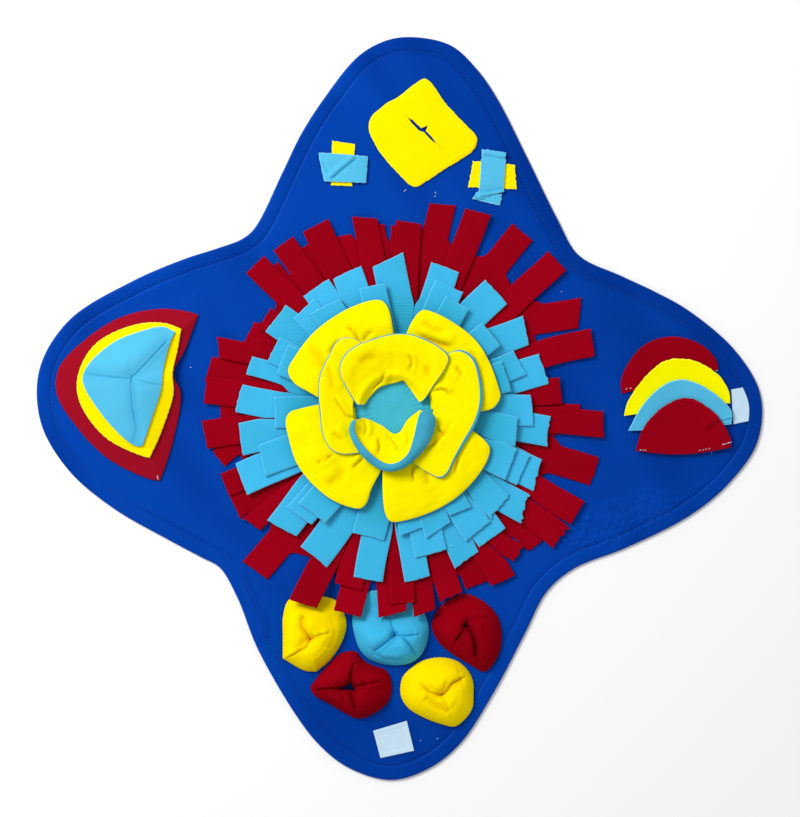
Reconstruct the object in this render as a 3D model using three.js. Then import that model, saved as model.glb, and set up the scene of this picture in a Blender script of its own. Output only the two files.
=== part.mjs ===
// Snuffle mat: a four-lobed cloth base with rows of fleece strips round a yellow flower,
// and treat pockets sewn on its lobes. Everything is cloth, so every piece is a closed sheet.
// Millimetres, +Z up. The origin is on the floor under the middle of the mat, +Y towards the top lobe.

import * as THREE from 'three';

// ---------- driving dimensions ----------

const GAP = 0.35; // air between two layers of cloth
const BASE_THICKNESS = 3; // padded base cloth
const HEM_WIDTH = 13; // turned hem along the edge of the base
const STITCH_DEPTH = 0.5; // the top stitching pulls a groove along the inside of the hem
const EDGE_ROUND = 1.5; // rounding of the base's edge
const STRIP_THICKNESS = 2; // fleece of the strips
const BACKING_RADIUS = 58; // round backing that each row of strips is fused to
const PETAL_THICKNESS = 3; // yellow and light-blue fleece bonded back to back
const FLEECE_THICKNESS = 1.8; // single fleece of the pockets, flaps and tabs
const POD_THICKNESS = 2.2; // fleece of the domed pouches, gathered
const PATCH_THICKNESS = 1; // the small white patches
const HEART_RADIUS = 46;
const FLOWER_X = -6; // middle of the flower, a little left of the mat's middle
const FLOWER_Y = 0;

const ON_BASE = BASE_THICKNESS + GAP; // lowest height of whatever lies on the base

// ---------- colours ----------

const BLUE = 0x0a44a8;
const RED = 0x9a0a20;
const LIGHT_BLUE = 0x3fb8e8;
const YELLOW = 0xffe90c;
const WHITE = 0xc4e0f2;

// ---------- small helpers ----------

const clamp01 = (t) => Math.min(1, Math.max(0, t));
const mix = (a, b, t) => a + (b - a) * t;
const radians = (degrees) => (degrees * Math.PI) / 180;

function smoothStep(from, to, value) {
  const t = clamp01((value - from) / (to - from));
  return t * t * (3 - 2 * t);
}

// Straight-line reading of a short table of [position, value] rows.
function tableAt(rows, position) {
  if (position <= rows[0][0]) return rows[0][1];
  for (let i = 1; i < rows.length; i += 1) {
    const [x1, y1] = rows[i];
    if (position <= x1) {
      const [x0, y0] = rows[i - 1];
      return mix(y0, y1, (position - x0) / (x1 - x0));
    }
  }
  return rows[rows.length - 1][1];
}

// Smooth curve through [x, y] points.
function smoothCurve(points, closed) {
  const places = points.map(([x, y]) => new THREE.Vector3(x, y, 0));
  return new THREE.CatmullRomCurve3(places, closed, 'centripetal');
}

// A closed outline's smooth runs from one sharp corner to the next. A corner's third number is 1.
function smoothRuns(points) {
  const corners = points.flatMap(([, , sharp], i) => (sharp ? [i] : []));
  if (!corners.length) return [smoothCurve(points, true)];
  return corners.map((start, k) => {
    const end = k + 1 < corners.length ? corners[k + 1] : corners[0] + points.length;
    const run = [];
    for (let i = start; i <= end; i += 1) run.push(points[i % points.length]);
    return smoothCurve(run, false);
  });
}

// Even samples along a closed outline, anticlockwise seen from above.
function sampleOutline(points, count) {
  const runs = smoothRuns(points);
  const lengths = runs.map((run) => run.getLength());
  const total = lengths.reduce((sum, length) => sum + length, 0);
  let left = count;
  const samples = runs.flatMap((run, i) => {
    const share = i + 1 < runs.length ? Math.round((count * lengths[i]) / total) : left;
    left -= share;
    return run.getSpacedPoints(share).slice(0, share);
  });
  let area = 0;
  samples.forEach((p, i) => {
    const q = samples[(i + 1) % count];
    area += p.x * q.y - q.x * p.y;
  });
  return area > 0 ? samples : samples.reverse();
}

const flowerRadius = (x, y) => Math.hypot(x - FLOWER_X, y - FLOWER_Y);

// ---------- closed sheets ----------

// Joins an upper and a lower skin that share the same faces, and walls their open edges.
function closeSheet(upper, lower, faces) {
  const count = upper.length;
  const positions = new Float32Array(count * 6);
  upper.forEach((p, i) => p.toArray(positions, i * 3));
  lower.forEach((p, i) => p.toArray(positions, (count + i) * 3));
  const directed = new Set();
  faces.forEach(([a, b, c]) => {
    directed.add(`${a}_${b}`);
    directed.add(`${b}_${c}`);
    directed.add(`${c}_${a}`);
  });
  const index = [];
  faces.forEach(([a, b, c]) => {
    index.push(a, b, c);
    index.push(count + a, count + c, count + b);
  });
  directed.forEach((key) => {
    const [a, b] = key.split('_').map(Number);
    if (directed.has(`${b}_${a}`)) return;
    index.push(a, count + a, b);
    index.push(b, count + a, count + b);
  });
  const geometry = new THREE.BufferGeometry();
  geometry.setAttribute('position', new THREE.BufferAttribute(positions, 3));
  geometry.setIndex(index);
  return geometry;
}

// Thickens a middle surface evenly along its normals.
function thicken(points, faces, thickness) {
  const normals = points.map(() => new THREE.Vector3());
  faces.forEach(([a, b, c]) => {
    const ab = points[b].clone().sub(points[a]);
    const ac = points[c].clone().sub(points[a]);
    const normal = ab.cross(ac);
    [a, b, c].forEach((i) => normals[i].add(normal));
  });
  const half = thickness / 2;
  const upper = points.map((p, i) => p.clone().addScaledVector(normals[i].normalize(), half));
  const lower = points.map((p, i) => p.clone().addScaledVector(normals[i], -half));
  return closeSheet(upper, lower, faces);
}

// Grid of nu by nv cells. place(u, v) gives each point; u runs anticlockwise and v outwards,
// so that the faces look up. A closed grid joins its last column to its first.
function gridSheet(place, nu, nv, thickness, closed = false) {
  const columns = closed ? nu : nu + 1;
  const points = [];
  for (let i = 0; i < columns; i += 1) {
    for (let j = 0; j <= nv; j += 1) points.push(place(i / nu, j / nv));
  }
  const faces = [];
  for (let i = 0; i < nu; i += 1) {
    const next = (i + 1) % columns;
    for (let j = 0; j < nv; j += 1) {
      const a = i * (nv + 1) + j;
      const b = next * (nv + 1) + j;
      faces.push([a, a + 1, b + 1]);
      faces.push([a, b + 1, b]);
    }
  }
  return thicken(points, faces, thickness);
}

// Faces of rings of points round one middle point. Ring 0 is the outline; the middle comes last.
function ringFaces(count, rings) {
  const faces = [];
  for (let ring = 0; ring + 1 < rings; ring += 1) {
    for (let i = 0; i < count; i += 1) {
      const next = (i + 1) % count;
      const a = ring * count + i;
      const b = ring * count + next;
      faces.push([a, b, b + count]);
      faces.push([a, b + count, a + count]);
    }
  }
  const middle = rings * count;
  const last = (rings - 1) * count;
  for (let i = 0; i < count; i += 1) faces.push([last + i, last + ((i + 1) % count), middle]);
  return faces;
}

// ---------- base ----------

// Outline of the four lobes, clockwise from the top lobe's tip: x, y.
const BASE_OUTLINE = [
  [14, 353], [49, 345], [73, 323], [92, 296], [121, 239], [150, 180], [170, 146],
  [211, 126], [243, 111], [275, 93], [319, 55], [343, 13], [340, -32], [314, -70], [277, -101],
  [216, -132], [166, -152], [140, -174], [119, -214], [90, -269], [58, -318], [28, -342],
  [-8, -353], [-49, -341], [-76, -320], [-98, -292], [-135, -228], [-154, -180], [-171, -151],
  [-189, -141], [-219, -125], [-273, -94], [-315, -58], [-341, -13], [-342, 38], [-314, 84],
  [-254, 121], [-205, 142], [-171, 153], [-150, 161], [-138, 171], [-110, 227], [-94, 260],
  [-73, 293], [-39, 335], [-12, 350],
];

// Section of the hem from the edge inwards: distance in, height.
const HEM_SECTION = [
  [0, BASE_THICKNESS - EDGE_ROUND],
  [EDGE_ROUND, BASE_THICKNESS],
  [HEM_WIDTH - 2, BASE_THICKNESS],
  [HEM_WIDTH, BASE_THICKNESS - STITCH_DEPTH],
  [HEM_WIDTH + 2, BASE_THICKNESS],
];
const BASE_SAMPLES = 96;

function baseGeometry() {
  const outline = sampleOutline(BASE_OUTLINE, BASE_SAMPLES);
  const box = new THREE.Box3().setFromPoints(outline);
  const middle = box.getCenter(new THREE.Vector3());
  outline.forEach((p) => p.sub(middle));
  const upper = [];
  const lower = [];
  HEM_SECTION.forEach(([inset, height]) => {
    outline.forEach((p, i) => {
      const before = outline[(i + BASE_SAMPLES - 1) % BASE_SAMPLES];
      const after = outline[(i + 1) % BASE_SAMPLES];
      const along = after.clone().sub(before).normalize();
      const x = p.x - along.y * inset;
      const y = p.y + along.x * inset;
      upper.push(new THREE.Vector3(x, y, height));
      lower.push(new THREE.Vector3(x, y, 0));
    });
  });
  upper.push(new THREE.Vector3(0, 0, BASE_THICKNESS));
  lower.push(new THREE.Vector3(0, 0, 0));
  return closeSheet(upper, lower, ringFaces(BASE_SAMPLES, HEM_SECTION.length));
}

// ---------- rows of fleece strips ----------

// Rise from one row of strips to the next, by distance from the middle: radius, rise.
const ROW_PITCH = [[58, 2.38], [105, 2.85], [150, 2.7], [205, 2.6]];

// Strips that lie over the pouches are held up by them: where that starts and ends, and how much.
const POUCH_LIFT = { from: 162, to: 198, height: 13 };

// Each strip: angle of its tip, reach, width, lean from straight out (degrees),
// how much further its anticlockwise corner reaches, and its share of the lift over a pouch.
const RED_LOWER = [
  [133.5, 181, 24, 0, 0, 0], [122.8, 178, 24, 0, 0, 0], [109.2, 173, 24, 0, 2, 0],
  [98.2, 177, 22, 0, 3, 0], [88.9, 174, 23, 0, 0, 0], [78.1, 198, 25, 0, -3, 0],
  [55, 204, 25.5, -5, 0, 0], [28, 194, 28, -18, 8, 0], [357.4, 171, 24, 0, 0, 0],
  [342, 195, 28, 0, 0, 0], [315.5, 184, 22, 0, 4, 0], [293.8, 183, 23, 0, 1, 0],
  [277, 195, 21, 0, -5, 1], [268, 195, 27, 4, -6, 1], [255.8, 200, 26.5, 0, 0, 1],
  [228.2, 206, 29, 0, -3, 0], [211, 182, 24, 0, 2, 0], [195.5, 178, 19, 24, 0, 0],
  [181.5, 170, 24, 0, 0, 0], [168.3, 185, 24, 0, 2, 0], [153.3, 160, 23, 0, 0, 0],
];
const RED_UPPER = [
  [135, 193.5, 23.6, 0, 0, 0], [125, 191.5, 23, 0, 0, 0], [114.5, 191, 27, 0, -1.5, 0],
  [100.2, 184, 23.5, 0, 6.5, 0], [87.2, 177, 24.4, 0, 2.5, 0], [68.1, 201, 25, 0, -3, 0],
  [43.2, 205, 25, 0, 0, 0], [19, 194, 26.5, -6, 2.5, 0], [6.3, 154, 25, 0, 0, 0],
  [355.6, 194, 25, 0, -2.5, 0], [329.6, 196, 25.5, 0, 0, 0], [321.3, 196, 25, 0, 1, 0],
  [309.6, 178, 18, 22, 0, 0], [301, 191, 25, 0, 3, 0], [285.3, 185, 23, 0, -3, 0.6],
  [270.8, 184, 24, 0, -1, 1], [254, 176, 27, 0, 0, 1], [243.8, 206, 27, 0, -4, 1],
  [218, 178, 19, 0, -5, 0], [203.7, 181, 23, 0, 1, 0], [187.7, 186.5, 27, 0, -2, 0],
  [174.6, 185, 26, 0, 1, 0], [161.5, 181, 20, 9, -5.5, 0], [146.3, 154, 22.5, 0, -1, 0],
];
const BLUE_LOWER = [
  [15.2, 142, 30, 0, -2, 0], [31.7, 141, 28, -12, 4, 0], [50.4, 144, 31, -6, 1, 0],
  [72.1, 141, 28, 0, 1, 0], [94.3, 141.5, 31, 6, -8.5, 0], [111.2, 138.5, 29.5, 0, -2, 0],
  [124.7, 139.5, 29, 0, 0, 0], [144, 145, 32, 0, 1, 0], [164, 148.5, 18, 0, 1, 0],
  [176.2, 153, 27, -8, 1.5, 0], [191, 153.5, 31, 0, 2, 0], [204.2, 164.5, 32, 0, 2, 0],
  [225.5, 159.5, 31.5, 7, -5, 0], [240.1, 162, 32, -6, 1.5, 0], [259.6, 165, 28, 0, 0, 0],
  [276.1, 163, 24.5, 5, -1.5, 0], [294, 157, 27, 0, -5.5, 0], [305.6, 151, 31, 0, 0, 0],
  [321.3, 151.5, 28, 9, -6.5, 0], [334.3, 145, 30.5, 0, -6, 0], [351.4, 142.5, 29, 0, -1, 0],
];
const BLUE_MIDDLE = [
  [20.8, 122, 26, 0, -4, 0], [68, 125, 29, 0, 1.5, 0], [134, 131, 27, 0, 0, 0],
  [155, 132, 26, 0, 1, 0], [182, 118, 30, 0, 0, 0], [201, 139.5, 30.5, 0, 4.5, 0],
  [226.8, 139.5, 29, 0, -4, 0], [256.3, 124.5, 31, 0, 0, 0], [282.3, 141, 31, 0, -1.5, 0],
  [302.4, 138, 30, 0, -3.5, 0], [315.5, 133, 28.5, 0, -3, 0], [333.5, 131, 31, 0, -1.5, 0],
  [359.3, 126, 29.5, 0, -3, 0],
];
const BLUE_UPPER = [
  [17, 106, 30, 0, -1, 0], [39, 112, 28, 0, 0, 0], [61.5, 114, 25, 0, 0, 0],
  [102.4, 119, 25, 0, 0, 0], [126, 120, 31, 0, 5, 0], [157, 120.5, 30, 0, -1, 0],
  [230.2, 128.5, 32, 0, -1.5, 0], [275.5, 117, 23, 0, -6, 0], [287.7, 121, 27, 0, -8, 0],
  [300.5, 113, 22, 0, 3.5, 0], [333.2, 118, 31.5, 0, -3.5, 0], [348.9, 113, 28, 0, -3, 0],
];

// A slit ends at the whole cloth near the backing: angle of the slit, radius where it starts.
const RED_WEB = [
  [0, 150], [15, 146], [24, 152], [36, 160], [49, 163], [62, 158], [73, 171], [83, 174],
  [94, 164], [104, 169], [118, 172], [129, 164], [142, 155], [155, 154], [175, 164], [190, 164],
  [200, 160], [215, 164], [225, 168], [236, 171], [247, 167], [290, 167], [300, 163],
  [310, 158], [322, 152], [336, 148], [349, 156], [360, 150],
];
const BLUE_WEB = [[0, 104], [160, 104], [170, 112], [180, 104], [360, 104]];
const NO_WEB = [[0, 0], [360, 0]];
const WEB_ROUND = { before: 8, after: 2 }; // the rounded end of a slit, along the radius

const STRIP_STATIONS = [BACKING_RADIUS, 84, 108, 136, 164, 182];
const LIFTED_STATIONS = [BACKING_RADIUS, 84, 108, 136, 164, 171, 178, 186];
const LEAST_STEP = 3; // between one station and the next
const CLEAR_BETWEEN = 1; // between two strips of one row where they crowd together
const TIP_CLEAR = 5; // least distance from the last station to the tip
const LEAN_START = { from: 90, to: 40 }; // distances back from the tip over which a lean sets in

// Height of a strip's middle at a distance from the mat's middle.
function rowHeight(level, radius, liftShare) {
  const rise = level * tableAt(ROW_PITCH, radius);
  const lift = POUCH_LIFT.height * smoothStep(POUCH_LIFT.from, POUCH_LIFT.to, radius);
  return ON_BASE + STRIP_THICKNESS / 2 + rise + liftShare * lift;
}

const turnOf = (place) => Math.atan2(place.y, place.x);

// A strip's line: its tip, its direction there, and its middle and its side at a radius. A leaning
// strip is straight near its tip, and further back it turns in to its own place on the backing.
function stripLine([angle, reach, width, lean, slant, liftShare]) {
  const turned = (turn, radius) => new THREE.Vector2(Math.cos(turn), Math.sin(turn)).multiplyScalar(radius);
  const outward = radians(angle);
  const tip = turned(outward, reach);
  const out = turned(outward + radians(lean), 1);
  const side = new THREE.Vector2(-out.y, out.x);
  const along = tip.dot(out);
  const across = tip.dot(side);
  const centreAt = (radius) => {
    const back = along - Math.sqrt(Math.max(0, radius * radius - across * across));
    const off = turnOf(tip.clone().addScaledVector(out, -back).rotateAround(new THREE.Vector2(), -outward));
    const share = smoothStep(reach - LEAN_START.from, reach - LEAN_START.to, radius);
    return turned(outward + off * share, radius);
  };
  const sideAt = (radius) => {
    const run = centreAt(radius + 1).sub(centreAt(radius - 1)).normalize();
    return new THREE.Vector2(-run.y, run.x);
  };
  return { angle, tip, out, side, centreAt, sideAt, reach, width, slant, liftShare };
}

// A strip's corner towards one neighbour, kept clear of the line midway between the two; sign is 1
// on the strip's left. Inside the web's radius the cloth reaches that line.
function cornerTowards(strip, neighbour, radius, web, sign) {
  const centre = strip.centreAt(radius);
  let between = Math.abs(turnOf(neighbour.centreAt(radius)) - turnOf(centre));
  if (between > Math.PI) between = 2 * Math.PI - between;
  const room = radius * Math.sin(between / 2) - CLEAR_BETWEEN / 2;
  const half = between > 2 ? strip.width / 2 : Math.min(strip.width / 2, room);
  const plain = centre.clone().addScaledVector(strip.sideAt(radius), sign * half);
  const whole = 1 - smoothStep(web - WEB_ROUND.before, web + WEB_ROUND.after, radius);
  if (whole === 0) return plain;
  const turn = turnOf(centre) + sign * (between / 2 - CLEAR_BETWEEN / 2 / radius);
  return plain.lerp(new THREE.Vector2(Math.cos(turn), Math.sin(turn)).multiplyScalar(radius), whole);
}

// Where the slit between two strips starts.
function webBetween(webs, first, second) {
  const gap = (second.angle - first.angle + 360) % 360;
  return tableAt(webs, (first.angle + gap / 2) % 360);
}

// Radii of a strip's cross sections, closer together where a slit starts.
function stationsOf(strip, webBefore, webAfter) {
  const plain = strip.liftShare > 0 ? LIFTED_STATIONS : STRIP_STATIONS;
  const ends = [webBefore, webAfter].flatMap((web) => [web - WEB_ROUND.before, web + WEB_ROUND.after]);
  const inside = ends.filter((radius) => radius > BACKING_RADIUS + LEAST_STEP);
  const kept = plain.filter((radius) => inside.every((end) => Math.abs(end - radius) > LEAST_STEP));
  const radii = [...kept, ...inside].filter((radius) => radius < strip.reach - TIP_CLEAR);
  return radii.sort((a, b) => a - b).filter((radius, i, all) => i === 0 || radius - all[i - 1] > 0.5);
}

function fringeGeometry(rows, level, webs) {
  const ordered = [...rows].sort((a, b) => a[0] - b[0]);
  const strips = ordered.map(stripLine);
  const points = [new THREE.Vector3(0, 0, rowHeight(level, 0, 0))];
  const faces = [];
  const roots = strips.map((strip, i) => {
    const before = strips[(i + strips.length - 1) % strips.length];
    const after = strips[(i + 1) % strips.length];
    const webBefore = webBetween(webs, before, strip);
    const webAfter = webBetween(webs, strip, after);
    const pairs = stationsOf(strip, webBefore, webAfter).map((radius) => {
      const z = rowHeight(level, radius, strip.liftShare);
      const right = cornerTowards(strip, before, radius, webBefore, -1);
      const left = cornerTowards(strip, after, radius, webAfter, 1);
      return [new THREE.Vector3(right.x, right.y, z), new THREE.Vector3(left.x, left.y, z)];
    });
    const tipZ = rowHeight(level, strip.reach, strip.liftShare);
    const corners = [-1, 1].map((sign) => {
      const corner = strip.tip.clone().addScaledVector(strip.side, (sign * strip.width) / 2);
      corner.addScaledVector(strip.out, (sign * strip.slant) / 2);
      return new THREE.Vector3(corner.x, corner.y, tipZ);
    });
    pairs.push(corners);
    const first = points.length;
    pairs.forEach((pair) => points.push(...pair));
    for (let k = 0; k + 1 < pairs.length; k += 1) {
      const right = first + 2 * k;
      faces.push([right, right + 2, right + 3]);
      faces.push([right, right + 3, right + 1]);
    }
    return first;
  });
  roots.forEach((root, i) => {
    const next = roots[(i + 1) % roots.length];
    faces.push([0, root, root + 1]);
    faces.push([0, root + 1, next]);
  });
  const half = STRIP_THICKNESS / 2;
  const upper = points.map((p) => new THREE.Vector3(p.x, p.y, p.z + half));
  const lower = points.map((p) => new THREE.Vector3(p.x, p.y, p.z - half));
  return closeSheet(upper, lower, faces);
}

// ---------- flower ----------

const FRINGE_ROWS = 5;
const FRINGE_TOP = rowHeight(FRINGE_ROWS - 1, 0, 0) + STRIP_THICKNESS / 2;
const HEART_THICKNESS = 1.5;
const HEART_TOP = FRINGE_TOP + GAP + HEART_THICKNESS;
const PETAL_SEAT = HEART_TOP + GAP + PETAL_THICKNESS / 2; // middle of a petal sewn on the heart

function heartGeometry() {
  const segments = 32;
  const geometry = new THREE.CylinderGeometry(HEART_RADIUS, HEART_RADIUS, HEART_THICKNESS, segments);
  geometry.rotateX(Math.PI / 2);
  geometry.translate(FLOWER_X, FLOWER_Y, HEART_TOP - HEART_THICKNESS / 2);
  return geometry;
}

// Height of the outer petals' middle above their seat, by distance from the flower's middle.
const PETAL_MOUND = [[36, 0], [50, 1.2], [65, 3], [80, 4], [95, 2.8], [112, 0.5]];
// How much higher the next layer of petals lies, by distance from the flower's middle.
const PETAL_LAYER = [[38, 3.6], [54, 5.2]];
// The inner petals start low on the heart and climb over the roots of the others.
const INNER_CLIMB = [[24, 0], [26.5, 0.7], [32.5, 7.2]];

const PETAL_ROOT = 36;
const MID_ROOT = 38;
const EDGE_DROOP = 1.3; // the outer sides of a petal hang a little below its middle
const DROOP_START = { from: 58, to: 78 }; // radius over which the droop sets in

function petalHeight(layer, radius) {
  const mound = tableAt(PETAL_MOUND, radius) + layer * tableAt(PETAL_LAYER, radius);
  if (layer < 2) return PETAL_SEAT + mound;
  return PETAL_SEAT + Math.min(mound, radius < 34 ? tableAt(INNER_CLIMB, radius) : mound);
}

// The inner petals' sewn edges, which leave the middle of the heart bare.
const INNER_ROOT_N = [[20.5, 5], [14.5, 12.5], [8.5, 21.5], [3.5, 27], [-4, 24.5], [-16.5, 21.5],
  [-27, 12.5], [-35.5, 2.5]];
const INNER_ROOT_S = [[-36, -9.5], [-29, -11.5], [-16.5, -17], [-6, -24.5], [0.5, -23], [8.5, -11],
  [20.5, -2]];

// Petals, anticlockwise: layer, root radius, first and last root angle (or the marks of a sewn
// edge), and the rim's x, y points.
const PETALS = {
  petal_outer_nw: {
    layer: 0, root: PETAL_ROOT, from: 88, to: 172,
    rim: [[-6, 70], [-12, 97], [-18, 102.5], [-30, 101.5], [-55, 91], [-81, 72], [-99, 49],
      [-105.5, 36], [-100, 25], [-87, 17], [-78, 11.5]],
  },
  petal_outer_ne: {
    layer: 0, root: PETAL_ROOT, from: -2, to: 80,
    rim: [[77, -2], [89, 1], [95.5, 11], [94, 19], [85.5, 43], [72.5, 64], [53, 80], [32, 91],
      [22, 93], [14, 85], [7, 70]],
  },
  petal_outer_sw: {
    layer: 0, root: PETAL_ROOT, from: 178, to: 255,
    rim: [[-78, 3], [-95, -1], [-104, -4], [-107.5, -11], [-105, -27], [-98, -50], [-84.5, -69],
      [-66, -85], [-48, -93], [-37, -94.5], [-32, -90], [-28, -78], [-18, -59]],
  },
  petal_outer_se: {
    layer: 0, root: PETAL_ROOT, from: 260, to: 345,
    rim: [[-15, -59], [-15, -84], [-12.5, -101], [-8, -107], [7, -105.5], [32, -97], [54, -84],
      [73, -65], [83, -49], [85.5, -38], [81, -31], [70, -22]],
  },
  petal_mid_w: {
    layer: 1, root: MID_ROOT, from: 115, to: 230,
    rim: [[-37, 63], [-49, 67], [-58, 64], [-67, 49], [-75, 31], [-76.5, 11], [-75, -5],
      [-73, -22], [-66, -37], [-57, -42.5], [-35, -42]],
  },
  petal_mid_e: {
    layer: 1, root: MID_ROOT, from: 290, to: 410,
    rim: [[14, -52], [30, -62], [39, -65.5], [45, -62], [52, -49], [62, -32], [73, -13],
      [78, 6], [77, 27], [70, 48], [58, 55], [45, 51.5]],
  },
  petal_inner_n: {
    layer: 2, sewn: INNER_ROOT_N,
    rim: [[23.5, 8], [32.5, 22], [45, 42], [46.5, 49], [39, 57], [25, 65], [10, 70], [-4.5, 70.5],
      [-23, 66], [-41, 59], [-52, 50], [-56.5, 38], [-50, 19], [-40, 3]],
  },
};

function rootPlace(root, from, to, u) {
  const angle = radians(mix(from, to, u));
  return new THREE.Vector3(FLOWER_X + root * Math.cos(angle), FLOWER_Y + root * Math.sin(angle), 0);
}

function petalGeometry({ layer, root, from, to, sewn, rim }) {
  const rimCurve = smoothCurve(rim, false);
  const sewnCurve = sewn && smoothCurve(sewn, false);
  const place = (u, v) => {
    const start = sewn ? sewnCurve.getPointAt(u) : rootPlace(root, from, to, u);
    const end = rimCurve.getPointAt(u);
    const x = mix(start.x, end.x, v);
    const y = mix(start.y, end.y, v);
    const radius = flowerRadius(x, y);
    const sideways = Math.abs(2 * u - 1) ** 4;
    const droop = EDGE_DROOP * sideways * smoothStep(DROOP_START.from, DROOP_START.to, radius);
    return new THREE.Vector3(x, y, petalHeight(layer, radius) - droop);
  };
  return gridSheet(place, 15, 5, PETAL_THICKNESS);
}

// The south inner petal is a cup whose rim curls back over itself, so its underside shows.
// Its sections run from the root over the floor and the bulge to the free rim.
const CUP_BULGE = [[-43, -11], [-46, -20], [-41, -34], [-32, -46], [-20, -55], [-9, -58], [3, -55],
  [14, -47], [26, -33], [32, -18], [32, -8], [25, -3]];
const CUP_RIM = [[-41, -11], [-42, -20], [-37.5, -30], [-27, -42], [-17, -49.5], [-9, -52],
  [0, -49.5], [8, -42], [13, -28], [16, -15], [18, -7], [20, -3]];
const CUP_HEIGHT = { floor: 9.2, bulge: 14, top: 18, rim: 18.5 }; // above the petal seat

function cupGeometry() {
  const rootCurve = smoothCurve(INNER_ROOT_S, false);
  const bulgeCurve = smoothCurve(CUP_BULGE, false);
  const rimCurve = smoothCurve(CUP_RIM, false);
  const place = (u, v) => {
    const root = rootCurve.getPointAt(u).setZ(PETAL_SEAT);
    const bulge = bulgeCurve.getPointAt(u);
    const rim = rimCurve.getPointAt(u);
    const floor = root.clone().lerp(bulge, 0.5).setZ(PETAL_SEAT + CUP_HEIGHT.floor);
    const top = bulge.clone().lerp(rim, 0.35).setZ(PETAL_SEAT + CUP_HEIGHT.top);
    bulge.setZ(PETAL_SEAT + CUP_HEIGHT.bulge);
    rim.setZ(PETAL_SEAT + CUP_HEIGHT.rim);
    return new THREE.CatmullRomCurve3([root, floor, bulge, top, rim]).getPoint(v);
  };
  return gridSheet(place, 15, 7, PETAL_THICKNESS);
}

// ---------- leaf pocket ----------

const LEAF_PEAK = [-254, 26.5]; // where the folded layers come to a point
const LEAF_RISE = 12;
const LEAF_MOUTH = { angle: 5, spread: 24, rise: 7 }; // the right-hand edge gapes here
const LEAF_PITCH = 2.6; // from one layer to the next
const LEAF_RED = [[-191, 89, 1], [-203, 92.5], [-230, 94.5], [-266, 86], [-300, 64], [-323.5, 38],
  [-325, 13], [-306, -18], [-276, -48], [-240, -66], [-227.5, -69, 1], [-218, -42], [-208, 2],
  [-208, 17], [-214, 33], [-203, 57]];
const LEAF_YELLOW = [[-206.5, 75.5, 1], [-223, 81], [-248, 80], [-286, 63], [-304, 34], [-303, 6],
  [-278, -28], [-244, -45], [-236.5, -47, 1], [-227, -26], [-214, 14], [-214.5, 34], [-210, 56]];
const LEAF_BLUE = [[-212, 72.5, 1], [-224, 77.5], [-242, 74], [-270, 63], [-294, 42], [-300, 28],
  [-290, 6], [-261, -28], [-248, -36], [-242.5, -35, 1], [-235, -12], [-225.5, 17], [-222.5, 40],
  [-216.5, 63]];
const LEAF_SAMPLES = 32;
const LEAF_RINGS = [1, 0.86, 0.6, 0.3];

// How far the outline lies from a place inside it, in one direction.
function reachOf(outline, [cx, cy], angle) {
  const dx = Math.cos(angle);
  const dy = Math.sin(angle);
  let reach = 0;
  outline.forEach((p, i) => {
    const q = outline[(i + 1) % outline.length];
    const ex = q.x - p.x;
    const ey = q.y - p.y;
    const cross = dx * ey - dy * ex;
    const away = ((p.x - cx) * ey - (p.y - cy) * ex) / cross;
    const share = ((p.x - cx) * dy - (p.y - cy) * dx) / cross;
    if (away > 0 && share >= 0 && share <= 1) reach = Math.max(reach, away);
  });
  return reach;
}

const leafEdge = sampleOutline(LEAF_RED, 120);

// How high the pocket stands over the base at a place.
function leafRise(x, y) {
  const dx = x - LEAF_PEAK[0];
  const dy = y - LEAF_PEAK[1];
  const away = Math.hypot(dx, dy);
  if (away < 1e-6) return LEAF_RISE;
  const angle = Math.atan2(dy, dx);
  const share = Math.min(1, away / reachOf(leafEdge, LEAF_PEAK, angle));
  const off = (angle - radians(LEAF_MOUTH.angle)) / radians(LEAF_MOUTH.spread);
  const outward = share ** 1.5;
  return LEAF_RISE * (1 - outward) + LEAF_MOUTH.rise * outward * Math.exp(-off * off);
}

function leafGeometry(points, layer) {
  const outline = sampleOutline(points, LEAF_SAMPLES);
  const [px, py] = LEAF_PEAK;
  const height = ON_BASE + FLEECE_THICKNESS / 2 + layer * LEAF_PITCH;
  const places = [];
  LEAF_RINGS.forEach((share) => {
    outline.forEach((p) => {
      const x = mix(px, p.x, share);
      const y = mix(py, p.y, share);
      places.push(new THREE.Vector3(x, y, height + leafRise(x, y)));
    });
  });
  places.push(new THREE.Vector3(px, py, height + LEAF_RISE));
  return thicken(places, ringFaces(LEAF_SAMPLES, LEAF_RINGS.length), FLEECE_THICKNESS);
}

// ---------- half-moon flaps ----------

const MOON_PITCH = 1.2; // from one flap's sewn edge to the next, which lies clear of it in plan
const MOON_LIFT = 4; // how far a flap's free edge stands up

// Flaps from the back to the front: layer, how far the sewn edge sags, and the arc's x, y points
// anticlockwise from its right corner to its left one.
const MOONS = {
  moon_red_back: {
    layer: 0, sag: 0,
    arc: [[303, 37], [300, 47], [290, 58], [275, 65.5], [254, 68], [232, 60], [217, 43],
      [210, 25], [211, 14]],
  },
  moon_yellow: {
    layer: 1, sag: 0,
    arc: [[314, 5], [313, 15], [306, 28], [296, 37], [277, 46], [254, 46], [240, 37],
      [225, 20], [216, 5], [213, -7]],
  },
  moon_blue: {
    layer: 2, sag: 2,
    arc: [[315, -15], [315, -3], [306, 8], [290, 20], [272, 27], [258, 26], [242, 16],
      [229, 1], [217, -21]],
  },
  moon_red_front: {
    layer: 3, sag: 5,
    arc: [[314, -37], [314, -29], [303, -9], [291, 2], [274, 10], [257, 6], [239, -8],
      [229, -23], [224, -40]],
  },
};

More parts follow.
